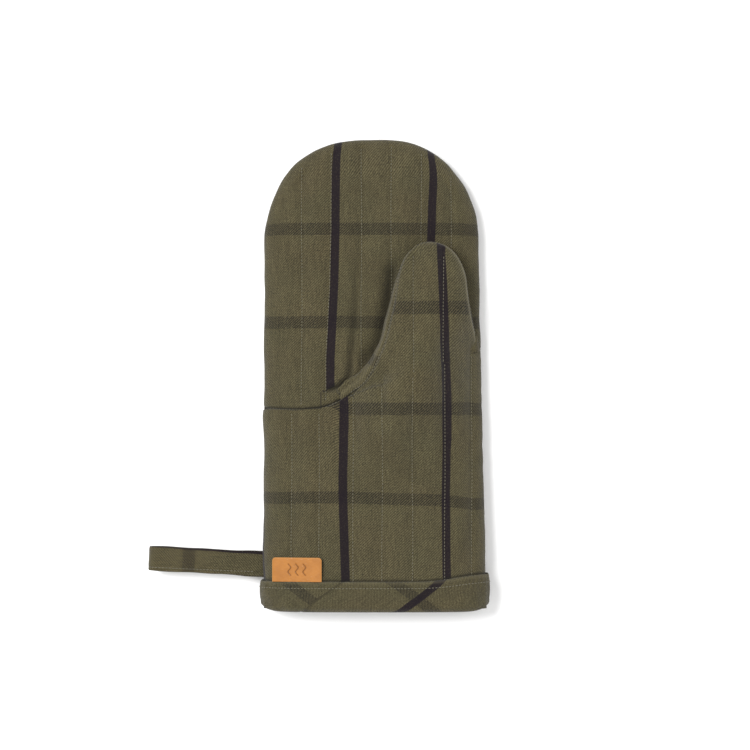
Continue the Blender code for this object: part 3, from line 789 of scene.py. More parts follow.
def thread_material():
    """Two-ply thread: slanting plies, read from the stitch's own coordinates."""
    n = Nodes("olive_thread")
    _, u, v = n.cloth()
    ply = n.math("ABSOLUTE", n.math("SINE", u * 9.0 + v * 6.0))
    # The colour follows the plies' relief: darker in the grooves between them, as painted shade
    n.look(Base_Color=n.blend(ply, *THREAD), Normal=n.bump(ply, 0.00008, 0.8))
    n.look(Roughness=0.6, Sheen_Weight=0.2)
    return n.material


def leather_material():
    n = Nodes("tan_leather")
    place = n.attribute("cloth", "Vector")
    grain = n.noise(place, 2.2, 4.0, 0.65)
    cloud = n.noise(place, 0.12, 3.0, 0.5)
    tint = n.blend(n.ramp(cloud, 0.3, 0.7), *LEATHER)
    tint = n.blend(grain * 0.35, tint, LEATHER_GRAIN)
    tint = n.blend(n.attribute("mark") * 0.85, tint, LEATHER_MARK)
    tint = n.blend(n.attribute("wear_and_shade") * 0.5, tint, LEATHER_WORN)
    pores = n.add("TexVoronoi", "Distance", {"Vector": place, "Scale": 1.9})
    n.look(Base_Color=tint, Roughness=0.42 + grain * 0.25, Normal=n.bump(pores, 0.0001, 0.5))
    n.look(Coat_Weight=0.03, Specular_IOR_Level=0.3)
    return n.material


bias_cloth = woven_material("bias_twill", OLIVE_WARP, OLIVE_WEFT, DARK_YARNS, BIAS_YARN)
check_cloth = woven_material("checked_twill", OLIVE_WARP, OLIVE_WEFT, DARK_YARNS)
lining_cloth = woven_material("plain_lining", LINING_WARP, LINING_WEFT, None, LINING_YARN, 0.25)
wadding = batting_material()
olive_thread = thread_material()
leather = leather_material()


# --- Quilted panels ---


def joint_of(name):
    return next(joint for joint in frame["joints"] if joint["name"] == name)


def place_piece(piece, body, nodes):
    """Rides a piece on a body; for the body named bend it only bakes the piece's transform into its
    mesh and leaves it without a parent. Hides these CAD nodes.
    """
    if body == "bend":
        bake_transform(piece)
    else:
        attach(piece, body)
    if nodes:
        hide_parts(*nodes)


def lowered(height):
    """The least height within a few grid steps, so that an inner sheet stays under the cloth."""
    least = height.copy()
    for axis in (0, 1):
        for shift in (-3, -2, -1, 1, 2, 3):
            moved = np.roll(height, shift, axis)
            least = np.minimum(least, moved)
        height = least.copy()
    return least


def add_panel(name, grids, body, parts, hem):
    """Outer cloth, wadding and lining of one panel; returns the cloth.

    hem is how far the last two stop short, at the grid's start, end, left and right.
    """
    trim = tuple(int(round(length / GRID)) for length in hem)
    base, normal, height, cloth, wear_and_shade = grids
    inner = (base, normal, lowered(height), cloth, wear_and_shade)
    sheets = (
        ("cloth", "outer", "outer_fabric", OUTER_SHEET, check_cloth, grids, 1, (0, 0, 0, 0)),
        ("wadding", "batting", "cotton_batting", BATTING_SHEET, wadding, inner, 2, trim),
        ("lining_cloth", "lining", "cotton_lining", LINING_SHEET, lining_cloth, inner, 2, trim),
    )
    pieces = []
    for label, sheet, slot, depths, material, used, step, inset in sheets:
        piece = closed_sheet(f"{name}_{label}", used, depths, material, step, inset)
        place_piece(piece, body, [f"{part}_{sheet}" for part in parts])
        pieces.append(piece)
    return pieces[0]


def edge_groove(distance, depth, width):
    return -depth * fade(distance, width)


def side_groove(points):
    """The side seam's groove; the sides stand up there, so a height over it is the distance."""
    y = points[..., 1]
    return edge_groove(np.abs(points[..., 2] - (seam_height(y) + cuff_lift(y))), 0.9, 1.3)


def row_ends(x, y):
    """How far a row of quilting still has to go before the outline of the fingertips."""
    up = np.maximum(0.0, y - DOME_Y) / DOME_LENGTH
    room = (1.0 - np.hypot((x - HAND_SHIFT) / HAND_HALF, up)) * HAND_HALF
    return np.where(y > DOME_Y, room - 2.0, ROW_FREE)


PALM_STRIPE = ((-20.0, 11.0, 32.0, 63.0, 103.0, 163.0), (-31.2, -31.2, -30.1, -28.5, -27.6, -27.4))
STRIPE_TO_ROW = 3.2
OFF_STRIPE = 16.0
PALM_BAND_Y = 37.0
PALM_STRIPE_2 = ((40.0, 95.0, 118.0, 154.0, 165.0), (38.8, 39.1, 39.9, 42.7, 43.8))


def palm_stripe(x, y):
    """The two stripes drift a little apart towards the fingertips."""
    first = np.interp(y, *PALM_STRIPE)
    drift = np.interp(y, *PALM_STRIPE_2) - first - STRIPE_PITCH
    return first + drift * np.clip((x - first) / STRIPE_PITCH, 0.0, 1.0)


def palm_band(_, v):
    return v - PALM_BAND_Y - 0.4 * np.maximum(0.0, v - 140.0)


FRONT_STRIPE = ((-163.0, -80.0, -17.0, 17.0, 92.0), (-19.9, -22.5, -21.6, -21.8, -25.2))
FRONT_DRIFT = ((-163.0, -98.0, -59.0, -30.0, -10.0, 20.0), (0.0, 1.0, 1.9, 1.2, 0.3, 0.0))
FRONT_BAND = ((-163.0, -86.9, -23.7, 46.8, 92.0), (-78.2, 0.0, 65.2, 130.4, 173.0))


def smoothed(x, places, values):
    """Values between these places, with the corners rounded off."""
    total = np.zeros_like(x, dtype=float)
    for shift in (-9.0, -4.5, 0.0, 4.5, 9.0):
        total += np.interp(x + shift, places, values)
    return total / 5.0


def front_stripe(x, y):
    first = smoothed(y, *FRONT_STRIPE)
    drift = smoothed(y, *FRONT_DRIFT)
    return first + drift * np.clip((x - first) / STRIPE_PITCH, 0.0, 1.0)


def front_band(u, v):
    """The bands tilt a little across the wrist."""
    ends, values = FRONT_BAND
    low = np.interp(u, (-75.0, -25.0, 45.0, 75.0), (1.7, 1.7, -0.3, -2.5))
    high = np.interp(u, (-75.0, -30.0, -21.0), (6.0, 5.5, 0.0))
    v = v - mix(low, high, smooth_step((v + 70.0) / 30.0))
    middle = np.interp(v, ends, values)
    middle += np.minimum(0.0, v - ends[0]) + np.maximum(0.0, v - ends[-1])
    return middle


BACK_BAND_Y = 11.0


def back_stripe(_, y):
    return 21.0 + 0.01 * y


def to_line(x, y, line):
    """Distance from a line of points, and the share of the way along it."""
    best = np.full_like(x, 1e6, dtype=float)
    place = np.zeros_like(x, dtype=float)
    for index in range(len(line) - 1):
        a = np.array(line[index], float)
        b = np.array(line[index + 1], float)
        d = b - a
        t = np.clip(((x - a[0]) * d[0] + (y - a[1]) * d[1]) / d.dot(d), 0.0, 1.0)
        distance = np.hypot(x - a[0] - t * d[0], y - a[1] - t * d[1])
        closer = distance < best
        best = np.where(closer, distance, best)
        place = np.where(closer, (index + t) / (len(line) - 1), place)
    return best, place


# The crease up from the crotch: its route, and by the share of its length its depth and how much
# painted shade darkens it
CREASE = (
    (-35.5, -11.6), (-25.5, -7.6), (-18.8, -2.6), (-17.4, 4.0), (-16.6, 14.0), (-14.0, 40.0),
    (-12.8, 62.0), (-12.4, 88.0),
)
CREASE_DEPTH = ((0.0, 0.1, 0.4, 0.58, 0.75, 0.9, 1.0), (0.0, 3.2, 4.2, 3.4, 2.9, 2.2, 0.2))
CREASE_SHADE = ((0.0, 0.05, 0.45, 0.7, 1.0), (0.0, 1.0, 0.8, 0.45, 0.0))
FOLD_SWELL = 1.3
# The valley that the cloth falls into beside the thumb; painted shade darkens it too
SHADOW_VALLEY = (
    (-10.5, 2.0), (-5.0, 12.0), (1.5, 22.0), (6.5, 38.0), (10.0, 55.0), (12.0, 72.0),
    (15.5, 84.0),
)
VALLEY_DEPTH = 5.0
SHORT_THREAD = 3.0


# Each panel's form is its grid of points, normals, quilting heights, cloth coordinates, and wear
# together with painted shade.


def palm_form():
    points, from_edge = palm_grid()
    normal = normals_of(points, 1)
    x, y = points[..., 0], points[..., 1]
    rows = list(PALM_ROWS)
    rows[1] = np.interp(y, *PALM_STRIPE) - STRIPE_TO_ROW
    height = quilted(x, y, rows, from_edge - SHORT_THREAD, row_ends(x, y))
    height += edge_groove(from_edge, 1.6, 1.3)
    height += side_groove(points)
    from_crease, place = to_line(x, y, CREASE)
    height -= np.interp(place, *CREASE_DEPTH) * fade(from_crease, 2.2)
    fold_side = smooth_step(place * 5.0) * (1.0 - place)
    height += FOLD_SWELL * fade(from_crease - 4.0, 2.4) * fold_side
    from_valley, valley_place = to_line(x, y, SHADOW_VALLEY)
    valley = smooth_step(np.minimum(valley_place, 1.0 - valley_place) * 5.0)
    height -= VALLEY_DEPTH * fade(from_valley, 4.6) * valley
    cloth = unrolled(points, normal, mitt_top(y) + cuff_lift(y), palm_stripe, palm_band)
    # The stripe ends in the fold beside the crotch
    fold_y = np.interp(x, *zip(*CREASE[:3]))
    past_fold = (y < fold_y) & (x > -37.0) & (x < -20.0)
    cloth[..., 0] += np.where(past_fold, OFF_STRIPE, 0.0)
    # Painted shade along the palm seam
    wear_and_shade = -fade(from_edge - 0.2, 0.9)
    # Painted shade in the crease
    wear_and_shade -= 0.95 * fade(from_crease, 1.4) * np.interp(place, *CREASE_SHADE)
    # Painted shade in the valley beside the thumb
    wear_and_shade -= 0.72 * fade(from_valley, 3.0) * valley
    return points, normal, height, cloth, wear_and_shade


def front_form():
    """The wrist and the top of the thumb, one cloth; also what the thumb's under side starts from."""
    points, run, from_left, from_right, root_row, bulge = front_grid()
    normal = normals_of(points, 1)
    x, y = points[..., 0], points[..., 1]
    on_thumb = run > 0.0
    past_root = y - root_y(x)
    before_seam = np.where(x < CROTCH[0], from_left - SHORT_THREAD, ROW_FREE)
    wrist_end = np.where(past_root < ROOT_OVERLAP, before_seam, 0.0)
    wrist = quilted(x, y, WRIST_ROWS, y - ROW_START_Y, wrist_end)
    thumb_end = np.minimum(np.minimum(from_left, from_right), THUMB_END_Y - y)
    thumb = quilted(x, y, THUMB_ROWS, 90.0 + y, thumb_end - SHORT_THREAD)
    height = mix(wrist, thumb, smooth_step(past_root / ROOT_OVERLAP))
    along_seam = (np.arange(points.shape[0]) >= steps(WRIST_RUN))[:, None]
    height += np.where(along_seam, edge_groove(from_left, 1.7, 1.4), 0.0)
    height += np.where(on_thumb, edge_groove(from_right, 1.2, 1.0), 0.0)
    height += side_groove(points) * (~on_thumb)
    # A swell where the palm seam leaves the left side
    height += 0.7 * fade(y + 29.0, 6.0) * fade(x + 74.0, 20.0)
    cloth = unrolled(points, normal, mitt_top(y) + cuff_lift(y), front_stripe, front_band)
    wear_and_shade = np.where(on_thumb, 0.9 * fade(from_right - 1.6, 0.9), 0.0)
    # Painted shade along the palm seam and up the thumb's left edge, fainter up the thumb
    seam_taper = 1.0 - 0.75 * smooth_step((run * THUMB_RUN - 22.0) / 20.0)
    wear_and_shade -= np.where(along_seam, fade(from_left - 0.2, 0.8) * seam_taper, 0.0)
    # The shade under the binding's edge
    hem_share = np.maximum(side_share(x, y), 0.0)
    hem_rise = smooth_step((hem_share ** (PALM_FULLNESS / 2) - 0.2) / 0.75)
    hem_y = BINDING_EDGE_Y + RIGHT_RISE * hem_rise
    wear_and_shade -= 0.8 * fade(y - hem_y - 0.4, 1.0)
    return (points, normal, height, cloth, wear_and_shade), root_row, bulge


def under_form(front_face, root_row, bulge):
    """The under side of the thumb, which starts on the front panel's outer face."""
    points = under_grid(front_face, root_row, bulge)
    normal = normals_of(points, -1)
    y = points[..., 1]
    down = run_of(points, 1)
    height = 0.25 * undulation(down, y, 14.0, 5) - 0.4 * fade(down - 5.0, 1.2)
    height *= smooth_step(down / 3.0)
    along_seam = np.broadcast_to(run_of(points[:, 0], 0)[:, None], y.shape)
    cloth = np.stack([down - 30.0, along_seam - 40.0, np.zeros_like(y)], 2)
    return points, normal, height, cloth, 0.3 * fade(down - 3.5, 1.6)


def back_form():
    points = back_grid()
    normal = normals_of(points, -1)
    x, y = points[..., 0], points[..., 1]
    height = quilted(x, y, BACK_ROWS, y - ROW_START_Y, row_ends(x, y))
    # The quilting may not swell down past the table
    over_table = np.maximum(0.0, points[..., 2] - 0.25) * np.clip(-normal[..., 2], 0.0, 1.0)
    height = np.minimum(height, over_table + (1.0 + normal[..., 2]) * 2.0)
    height += side_groove(points)
    turned = (1, 1, -1)
    cloth = unrolled(
        points * turned, normal * turned, -cuff_lift(y), back_stripe, lambda _, v: v - BACK_BAND_Y
    )
    return points, normal, height, cloth, np.zeros_like(x)


def outer_face(form):
    points, normal, height = form[:3]
    return points + normal * height[..., None]


palm = palm_form()
palm_piece = add_panel("palm", palm, "root", ["palm"], (4, 8, 10, 10))
front, root_row, bulge = front_form()
front_piece = add_panel("front", front, "bend", ["wrist", "thumb_top"], (0, 14, 10, 10))
under = under_form(outer_face(front), root_row, bulge)
under_piece = add_panel("thumb_under", under, "bend", ["thumb_under"], (26, 14, 18, 18))
back_piece = add_panel("back", back_form(), "root", ["back"], (0, 8, 10, 10))


# --- Binding ---


def ring_point(turn, depth, y):
    """A point round the mitt's section: turn is 0 to 1 from the right, over the top, and back under."""
    angle = turn * 2.0 * math.pi
    cosine = np.cos(angle)
    top = np.sin(angle) >= 0.0
    fullness = np.where(top, PALM_FULLNESS, BACK_FULLNESS)
    share = np.sign(cosine) * np.abs(cosine) ** (2.0 / fullness)
    lift = np.abs(np.sin(angle)) ** (2.0 / fullness)
    seam = seam_height(y)
    up = (mitt_top(y) - seam - depth) * lift
    down = np.minimum((seam + BACK_MARGIN - depth) * lift, seam - depth)
    x = centre_x(y) + (half_width(y) - depth) * share
    return x, seam + np.where(top, up, -down) + cuff_lift(y)


CUFF_GIRTH = 330.0
STRIP_OUTSIDE = -2.15
STRIP_INSIDE = 7.0
STRIP_TURN = 4.6
STRIP_INNER_HEM = 12.5
STRIP_SWELL = 0.75
CORNER_LIFT = 3.2


def binding_grid():
    """The bias strip rolled over the cuff's edge, from the outer hem to the inner one."""
    around = steps(CUFF_GIRTH)
    turn = np.linspace(0.0, 1.0, around, endpoint=False)
    angle = turn * 2.0 * math.pi
    right = smooth_step((np.cos(angle) - 0.2) / 0.75)
    width = BINDING_TOP_Y - CUFF_Y
    profile = []
    for t in np.linspace(0.0, 1.0, steps(17.0)):
        swell = STRIP_SWELL * math.sin(math.pi * min(1.0, t * 1.12)) ** 0.6 - 0.5 * (1.0 - t) ** 6
        profile.append((STRIP_OUTSIDE - swell, 1.0 - t * (1.0 - STRIP_TURN / width)))
    for t in np.linspace(0.0, math.pi, 15)[1:-1]:
        middle = (STRIP_OUTSIDE + STRIP_INSIDE) / 2
        radius = (STRIP_INSIDE - STRIP_OUTSIDE) / 2
        edge = (STRIP_TURN - STRIP_TURN * math.sin(t) ** 0.8) / width
        profile.append((middle - radius * math.cos(t), edge))
    for t in np.linspace(0.0, 1.0, steps(12.0)):
        depth = STRIP_INSIDE + 0.4 * math.sin(math.pi * t)
        profile.append((depth, (STRIP_TURN + t * STRIP_INNER_HEM) / width))
    rows = []
    cloth = []
    run = 0.0
    before = None
    for depth, share in profile:
        top_y = width + 2.0 + RIGHT_RISE * right
        y = CUFF_Y + share * top_y
        y = y + CORNER_LIFT * np.abs(np.cos(angle)) ** 14 * (1.0 - share) ** 2
        wrinkle = 0.28 * undulation(turn * 500.0 - y, y * 1.4, 19.0, 11)
        wrinkle += 0.16 * np.sin(turn * 330.0 + y * 0.5) * fade(share - 0.9, 0.18)
        here = depth - wrinkle * (1.0 if depth < 3.0 else 0.3)
        x, z = ring_point(turn, here, np.maximum(y, CUFF_Y))
        z = np.maximum(z, LOWEST_EDGE)
        row = np.stack([x, y, z], 1)
        if before is not None:
            run += float(np.linalg.norm(row - before, axis=1).mean())
        before = row
        rows.append(row)
        cloth.append(np.full(around, -run * BIAS_STRETCH))
    return np.stack(rows), np.stack(cloth)


BIAS_STRETCH = 1.3
STRIP_THICKNESS = 0.9
JOIN_DEPTH = 0.45
JOIN_WIDTH = 1.1
JOIN_LENGTH = 260.0
JOIN_X = -22.7
STRIPE_X = 47.0
BAND_LEFT_X = -61.8
BAND_RIGHT_X = 12.2


def bias_cloth_coordinates(outer, down):
    """Along and across the bias strip, with the strip's join where it crosses the front."""
    first = outer[2]
    length = np.linalg.norm(np.diff(first, axis=0, append=first[:1]), axis=1)
    round_it = np.concatenate([[0.0], np.cumsum(length)[:-1]])
    half = len(first) // 2

    def place_of(x):
        return round_it[int(np.argmin(np.abs(first[:half, 0] - x)))]

    a = np.broadcast_to(round_it[None, :], down.shape)
    b = np.broadcast_to(down, down.shape)
    root = math.sqrt(2.0)
    # The stripes lie where a + b is constant, and the bands where b - a is
    along_stripe = (a + b) / root - place_of(STRIPE_X) / root
    along_band = (b - a) / root + place_of(BAND_RIGHT_X) / root
    past_join = (a + b > place_of(JOIN_X)) & (a + b < place_of(JOIN_X) + JOIN_LENGTH)
    stripe_left = (a + b) / root - (place_of(BAND_LEFT_X) + 47.0) / root
    band_left = (b - a) / root + place_of(BAND_LEFT_X) / root
    u = np.where(past_join, stripe_left, along_stripe)
    v = np.where(past_join, band_left, along_band)
    seam = fade(a + b - place_of(JOIN_X), JOIN_WIDTH)
    return np.stack([u, v, np.zeros_like(u)], 2), seam


def add_binding():
    outer, down = binding_grid()
    cloth, join = bias_cloth_coordinates(outer, down)
    normal = normals_of(outer, 1)
    middle = outer.mean(axis=1, keepdims=True)
    facing = np.einsum("ijk,ijk->ij", normal, outer - middle)
    if facing[2].mean() < 0.0:
        normal = -normal
    outer = outer - normal * (JOIN_DEPTH * join)[..., None]
    inner = outer - normal * STRIP_THICKNESS
    rows, columns = outer.shape[:2]
    flip = turned_inward(outer, normal, 2, 5)
    faces = grid_faces(rows, columns, 0, flip, wrap=True)
    faces += grid_faces(rows, columns, rows * columns, not flip, wrap=True)
    second = rows * columns
    for j in range(columns):
        k = (j + 1) % columns
        for low, turned in ((0, flip), (second - columns, not flip)):
            face = (low + j, low + j + second, low + k + second, low + k)
            faces.append(face[::-1] if turned else face)
    points = np.concatenate([outer.reshape(-1, 3), inner.reshape(-1, 3)])
    flat = cloth.reshape(-1, 3)
    share = np.linspace(0.0, 1.0, rows)[:, None] * np.ones((1, columns))
    # Worn lighter along the outer fold, and darkened in the strip's join as painted shade
    wear_and_shade = (0.35 * fade(share - 0.02, 0.02) - 0.45 * join).ravel()
    attributes = [
        ("cloth", np.concatenate([flat, flat])),
        ("wear_and_shade", np.concatenate([wear_and_shade, wear_and_shade * 0.0])),
    ]
    piece = add_mesh("cuff_binding_strip", points, faces, attributes, bias_cloth)
    place_piece(piece, "root", ["cuff_binding"])
    return outer, normal


binding_outer, binding_normal = add_binding()


# --- Stitches ---

THREAD_RADIUS = 0.25
STITCH_LENGTH = 1.6


def tree_of(obj):
    mesh = obj.data
    points = [vertex.co.copy() for vertex in mesh.vertices]
    faces = [list(face.vertices) for face in mesh.polygons]
    return BVHTree.FromPolygons(points, faces)


def stitch_mesh(name, ends):
    """Short rounded lengths of thread; each is (first end, last end, outward direction)."""
    sides = 6
    profile = ((0.0, 0.25, -0.9), (0.06, 0.7, -0.2), (0.25, 1.0, 0.25), (0.5, 1.05, 0.35))
    profile += tuple((1.0 - t, r, h) for t, r, h in reversed(profile[:-1]))
    points = []
    faces = []
    cloth = []
    for first, last, out in ends:
        way = last - first
        length = way.length
        way = way / length
        side = way.cross(out).normalized()
        up = side.cross(way)
        base = len(points)
        for t, wide, high in profile:
            middle = first + (last - first) * t + up * (high * THREAD_RADIUS)
            for k in range(sides):
                angle = 2.0 * math.pi * k / sides
                reach = side * math.cos(angle) + up * math.sin(angle)
                points.append(middle + reach * (THREAD_RADIUS * wide))
                cloth.append((t * length, angle / 2.0, 0.0))
        count = len(profile)
        faces += grid_faces(count, sides, base, False, wrap=True)
        faces.append(tuple(base + k for k in range(sides))[::-1])
        faces.append(tuple(base + (count - 1) * sides + k for k in range(sides)))
    points = np.array([tuple(point) for point in points])
    return add_mesh(name, points, faces, [("cloth", np.array(cloth))], olive_thread)


def stitch_line(path, outs):
    """Cuts a line of points into stitches."""
    path = np.array([tuple(point) for point in path])
    run = run_of(path, 0)
    ends = []
    at = 0.4
    while at + STITCH_LENGTH < run[-1]:
        first = [np.interp(at, run, path[:, k]) for k in range(3)]
        last = [np.interp(at + STITCH_LENGTH, run, path[:, k]) for k in range(3)]
        index = int(np.searchsorted(run, at + STITCH_LENGTH / 2))
        ends.append((Vector(first), Vector(last), outs[min(index, len(outs) - 1)]))
        at += STITCH_PITCH
    return ends


def laid_path(tree, line, side):
    """Lays a line of (x, y) on a surface from above (side 1) or from below (side -1)."""
    path = []
    outs = []
    for x, y in line:
        start = Vector((x * MM, y * MM, side * 0.2))
        hit, normal, _, _ = tree.ray_cast(start, Vector((0.0, 0.0, -side)))
        if hit is None:
            continue
        out = normal if normal.z * side > 0 else -normal
        point = hit / MM + out * 0.12
        point.z = max(point.z, LOWEST_THREAD)
        path.append(point)
        outs.append(out)
    return path, outs


def tip_y(x, inset):
    share = abs(x - HAND_SHIFT) / (HAND_HALF - inset)
    return DOME_Y + (DOME_LENGTH - inset) * float(arch(share, DOME_FULLNESS))


def row_line(x, start, end):
    count = max(4, int((end - start) / 1.5))
    return [(x + 0.25 * math.sin(0.05 * y + x), y) for y in np.linspace(start, end, count)]


def add_stitches(name, path, outs, body, nodes):
    piece = stitch_mesh(name, stitch_line(path, outs))
    place_piece(piece, body, nodes)


def add_row(name, tree, line, side, body, nodes):
    add_stitches(name, *laid_path(tree, line, side), body, nodes)


def row_end_y(x):
    """Where a row meets the palm seam or, right of the crotch, the thumb's root line."""
    if x < CROTCH[0]:
        return float(np.interp(x, *zip(*SEAM_EDGE)))
    return float(root_y(x))


def add_quilting_stitches():
    palm_tree, front_tree, under_tree, back_tree = (
        tree_of(piece) for piece in (palm_piece, front_piece, under_piece, back_piece)
    )
    for index, x in enumerate(PALM_ROWS, 1):
        line = row_line(x, row_end_y(x) + SHORT_THREAD, tip_y(x, 4.0))
        if index == 2:
            line = [(float(np.interp(y, *PALM_STRIPE)) - STRIPE_TO_ROW, y) for _, y in line]
        nodes = [f"palm_quilting_{index}"]
        add_row(f"palm_row_stitches_{index}", palm_tree, line, 1, "root", nodes)
    for index, x in enumerate(WRIST_ROWS, 1):
        low = LABEL_TOP_Y if x < LABEL_RIGHT_X else ROW_LOW_Y
        line = row_line(x, low, row_end_y(x) - (SHORT_THREAD if x < CROTCH[0] else 0.0))
        # The row nearest the right side has no thread of its own in the CAD model
        nodes = [f"wrist_quilting_{index}"] if index < len(WRIST_ROWS) else []
        add_row(f"wrist_row_stitches_{index}", front_tree, line, 1, "root", nodes)
    for index, x in enumerate(BACK_ROWS, 1):
        line = row_line(x, ROW_LOW_Y, tip_y(x, 4.0))
        nodes = [f"back_quilting_{index}"]
        add_row(f"back_row_stitches_{index}", back_tree, line, -1, "root", nodes)
    for index, x in enumerate(THUMB_ROWS, 1):
        line = row_line(x, row_end_y(x) + 1.0, 86.0 - 0.02 * (x - THUMB_MIDDLE) ** 2)
        nodes = [f"thumb_top_quilting_{index}"]
        add_row(f"thumb_top_row_stitches_{index}", front_tree, line, 1, "bend", nodes)
    for index, x in enumerate(THUMB_ROWS, 1):
        line = row_line(x, row_end_y(x) + 5.0, 82.0)
        nodes = [f"thumb_under_quilting_{index}"]
        add_row(f"thumb_under_row_stitches_{index}", under_tree, line, -1, "bend", nodes)


add_quilting_stitches()


def add_seam_stitches():
    """Closing seams: round the mitt, along the palm seam, up the thumb, and along the binding."""
    rim = outer_face(palm)
    left = [Vector(point) for point in rim[:, 0]]
    right = [Vector(point) for point in rim[:, -1]]
    path = left + right[::-1]
    outs = [Vector((-1.0, 0.0, 0.0))] * len(left) + [Vector((1.0, 0.0, 0.0))] * len(right)
    for index, point in enumerate(path):
        if point.y > DOME_Y:
            outs[index] = Vector((point.x - HAND_SHIFT, point.y - DOME_Y, 0.0)).normalized()
    add_stitches("side_seam_stitches", path, outs, "root", ["outline_seam_thread"])
    lifted = outer_face(front)
    seam_rows = slice(steps(WRIST_RUN), root_row)
    path = [Vector(point) for point in lifted[seam_rows, 0] - (0.0, 0.0, 0.25)]
    outs = [Vector(out) for out in front[1][seam_rows, 2]]
    add_stitches("palm_seam_stitches", path, outs, "root", ["palm_seam_thread"])
    left = lifted[root_row + 8 :, 0]
    right = lifted[root_row + 12 : -1, -1][::-1]
    path = [Vector(point) for point in np.vstack([left, right])]
    outs = [Vector((-0.8, 0.2, 0.6))] * len(left) + [Vector((0.9, 0.2, 0.4))] * len(right)
    add_stitches("thumb_seam_stitches", path, outs, "bend", ["thumb_seam_thread"])
    row = steps(2.4)
    line = binding_outer[row] + binding_normal[row] * 0.1
    line[:, 2] = np.maximum(line[:, 2], LOWEST_THREAD)
    path = [Vector(point) for point in line]
    outs = [Vector(out) for out in binding_normal[row]]
    add_stitches("binding_stitches", path, outs, "root", ["binding_topstitch"])


add_seam_stitches()


# --- Hanging loop ---

STRAP_HALF = 8.6
STRAP_CORE = 0.75
STRAP_REACH = 78.7
FOLD_HALF = 4.5
FOLD_START = STRAP_REACH - FOLD_HALF - 1.0
ROOT_HALF = 1.15
STRAP_RUN = 74.0
STRAP_SIDES = 44
STRAP_STRIPE = 9.2
STRAP_STRIPE_SLANT = 0.026
STRAP_BAND = 54.0
STRAP_STITCH_INSET = 2.6
LOWER_SHIFT = -1.1
LOWER_SHIFT_END = 60.0
LOOP_SLANT = math.radians(2.6)


def strap_path():
    """Middle line of the folded strap: (distance out, height), from the upper end to the lower."""
    upper = []
    for t in np.linspace(-0.05, 1.0, steps(STRAP_RUN)):
        wave = 0.35 * math.sin(t * 7.0)
        half = mix(ROOT_HALF, FOLD_HALF, float(smooth_step(t * 2.2)))
        upper.append((t * FOLD_START, half + wave * t * (1 - t)))
    fold = []
    for angle in np.linspace(0.0, math.pi, 16)[1:-1]:
        fold.append((FOLD_START + FOLD_HALF * math.sin(angle), FOLD_HALF * math.cos(angle)))
    lower = [(x, -z) for x, z in reversed(upper)]
    return np.array(upper + fold + lower)


def add_loop():
    pivot = np.array(joint_of("loop_swing")["pos_m"], float) / MM
    path = strap_path()
    flow = np.gradient(path, axis=0)
    flow /= np.linalg.norm(flow, axis=1)[:, None]
    side = np.stack([-flow[:, 1], flow[:, 0]], 1)
    run = run_of(path, 0)
    section = []
    for k in range(STRAP_SIDES):
        angle = 2.0 * math.pi * k / STRAP_SIDES
        c, s = math.cos(angle), math.sin(angle)
        wide = math.copysign(abs(c) ** 0.35, c) * STRAP_HALF
        deep = math.copysign(abs(s) ** 0.8, s) * STRAP_CORE
        section.append((wide, deep))
    points = []
    cloth = []
    wear_and_shade = []
    for i, (x, z) in enumerate(path):
        on_lower = i > len(path) / 2
        for wide, deep in section:
            dent = 0.3 * math.exp(-(((wide + STRAP_HALF - STRAP_STITCH_INSET) / 0.9) ** 2))
            edge = 0.18 * math.sin(run[i] * 0.21) * (wide / STRAP_HALF)
            thick = deep * (1.0 - dent) + 0.12 * math.sin(run[i] * 0.5 + wide * 0.4)
            px = x + side[i, 0] * thick
            pz = z + side[i, 1] * thick
            shift = LOWER_SHIFT * smooth_step(1.0 - x / LOWER_SHIFT_END) if on_lower else 0.0
            points.append((-px, wide + edge + shift, pz))
            stripe_x = STRAP_STRIPE + STRAP_STRIPE_SLANT * x
            cloth.append((wide - stripe_x, run[i] - STRAP_BAND, 0.0))
            wear_and_shade.append(0.35 * math.exp(-(((abs(wide) - STRAP_HALF) / 0.35) ** 2)))
    # The strap slants as a whole about its root
    points = np.array(points)
    turned = points.copy()
    turned[:, 0] = points[:, 0] * math.cos(LOOP_SLANT) + points[:, 1] * math.sin(LOOP_SLANT)
    turned[:, 1] = points[:, 1] * math.cos(LOOP_SLANT) - points[:, 0] * math.sin(LOOP_SLANT)
    turned += pivot
    faces = grid_faces(len(path), STRAP_SIDES, 0, True, wrap=True)
    faces.append(tuple(range(STRAP_SIDES)))
    faces.append(tuple(range(len(points) - STRAP_SIDES, len(points)))[::-1])
    attributes = [("cloth", np.array(cloth)), ("wear_and_shade", np.array(wear_and_shade))]
    piece = add_mesh("hanging_loop_strap", turned, faces, attributes, check_cloth)
    place_piece(piece, "loop", ["hanging_loop"])
    line = []
    outs = []
    turn = Matrix.Rotation(-LOOP_SLANT, 3, "Z")
    for i, (x, z) in enumerate(path):
        if x < 4.0:
            continue
        px = x + side[i, 0] * STRAP_CORE * 0.8
        pz = z + side[i, 1] * STRAP_CORE * 0.8
        place = Vector((-px, STRAP_STITCH_INSET - STRAP_HALF, pz))
        line.append(turn @ place + Vector(pivot.tolist()))
        outs.append(turn @ Vector((-side[i, 0], 0.0, side[i, 1])))
    add_stitches("loop_edge_stitches", line, outs, "loop", ["loop_edge_thread"])


add_loop()


# --- Leather label ---

LABEL_SHIFT = 1.5
LABEL_COLUMNS = 150
LABEL_ROWS = 74
LABEL_CORNER = 2.4
LABEL_BOW = 0.35
WAVE_PITCH = 5.2
WAVE_REACH = 0.9
WAVE_HALF = 4.6
PRESSED_DEPTH = 0.34
EDGE_ROUNDING = 0.32


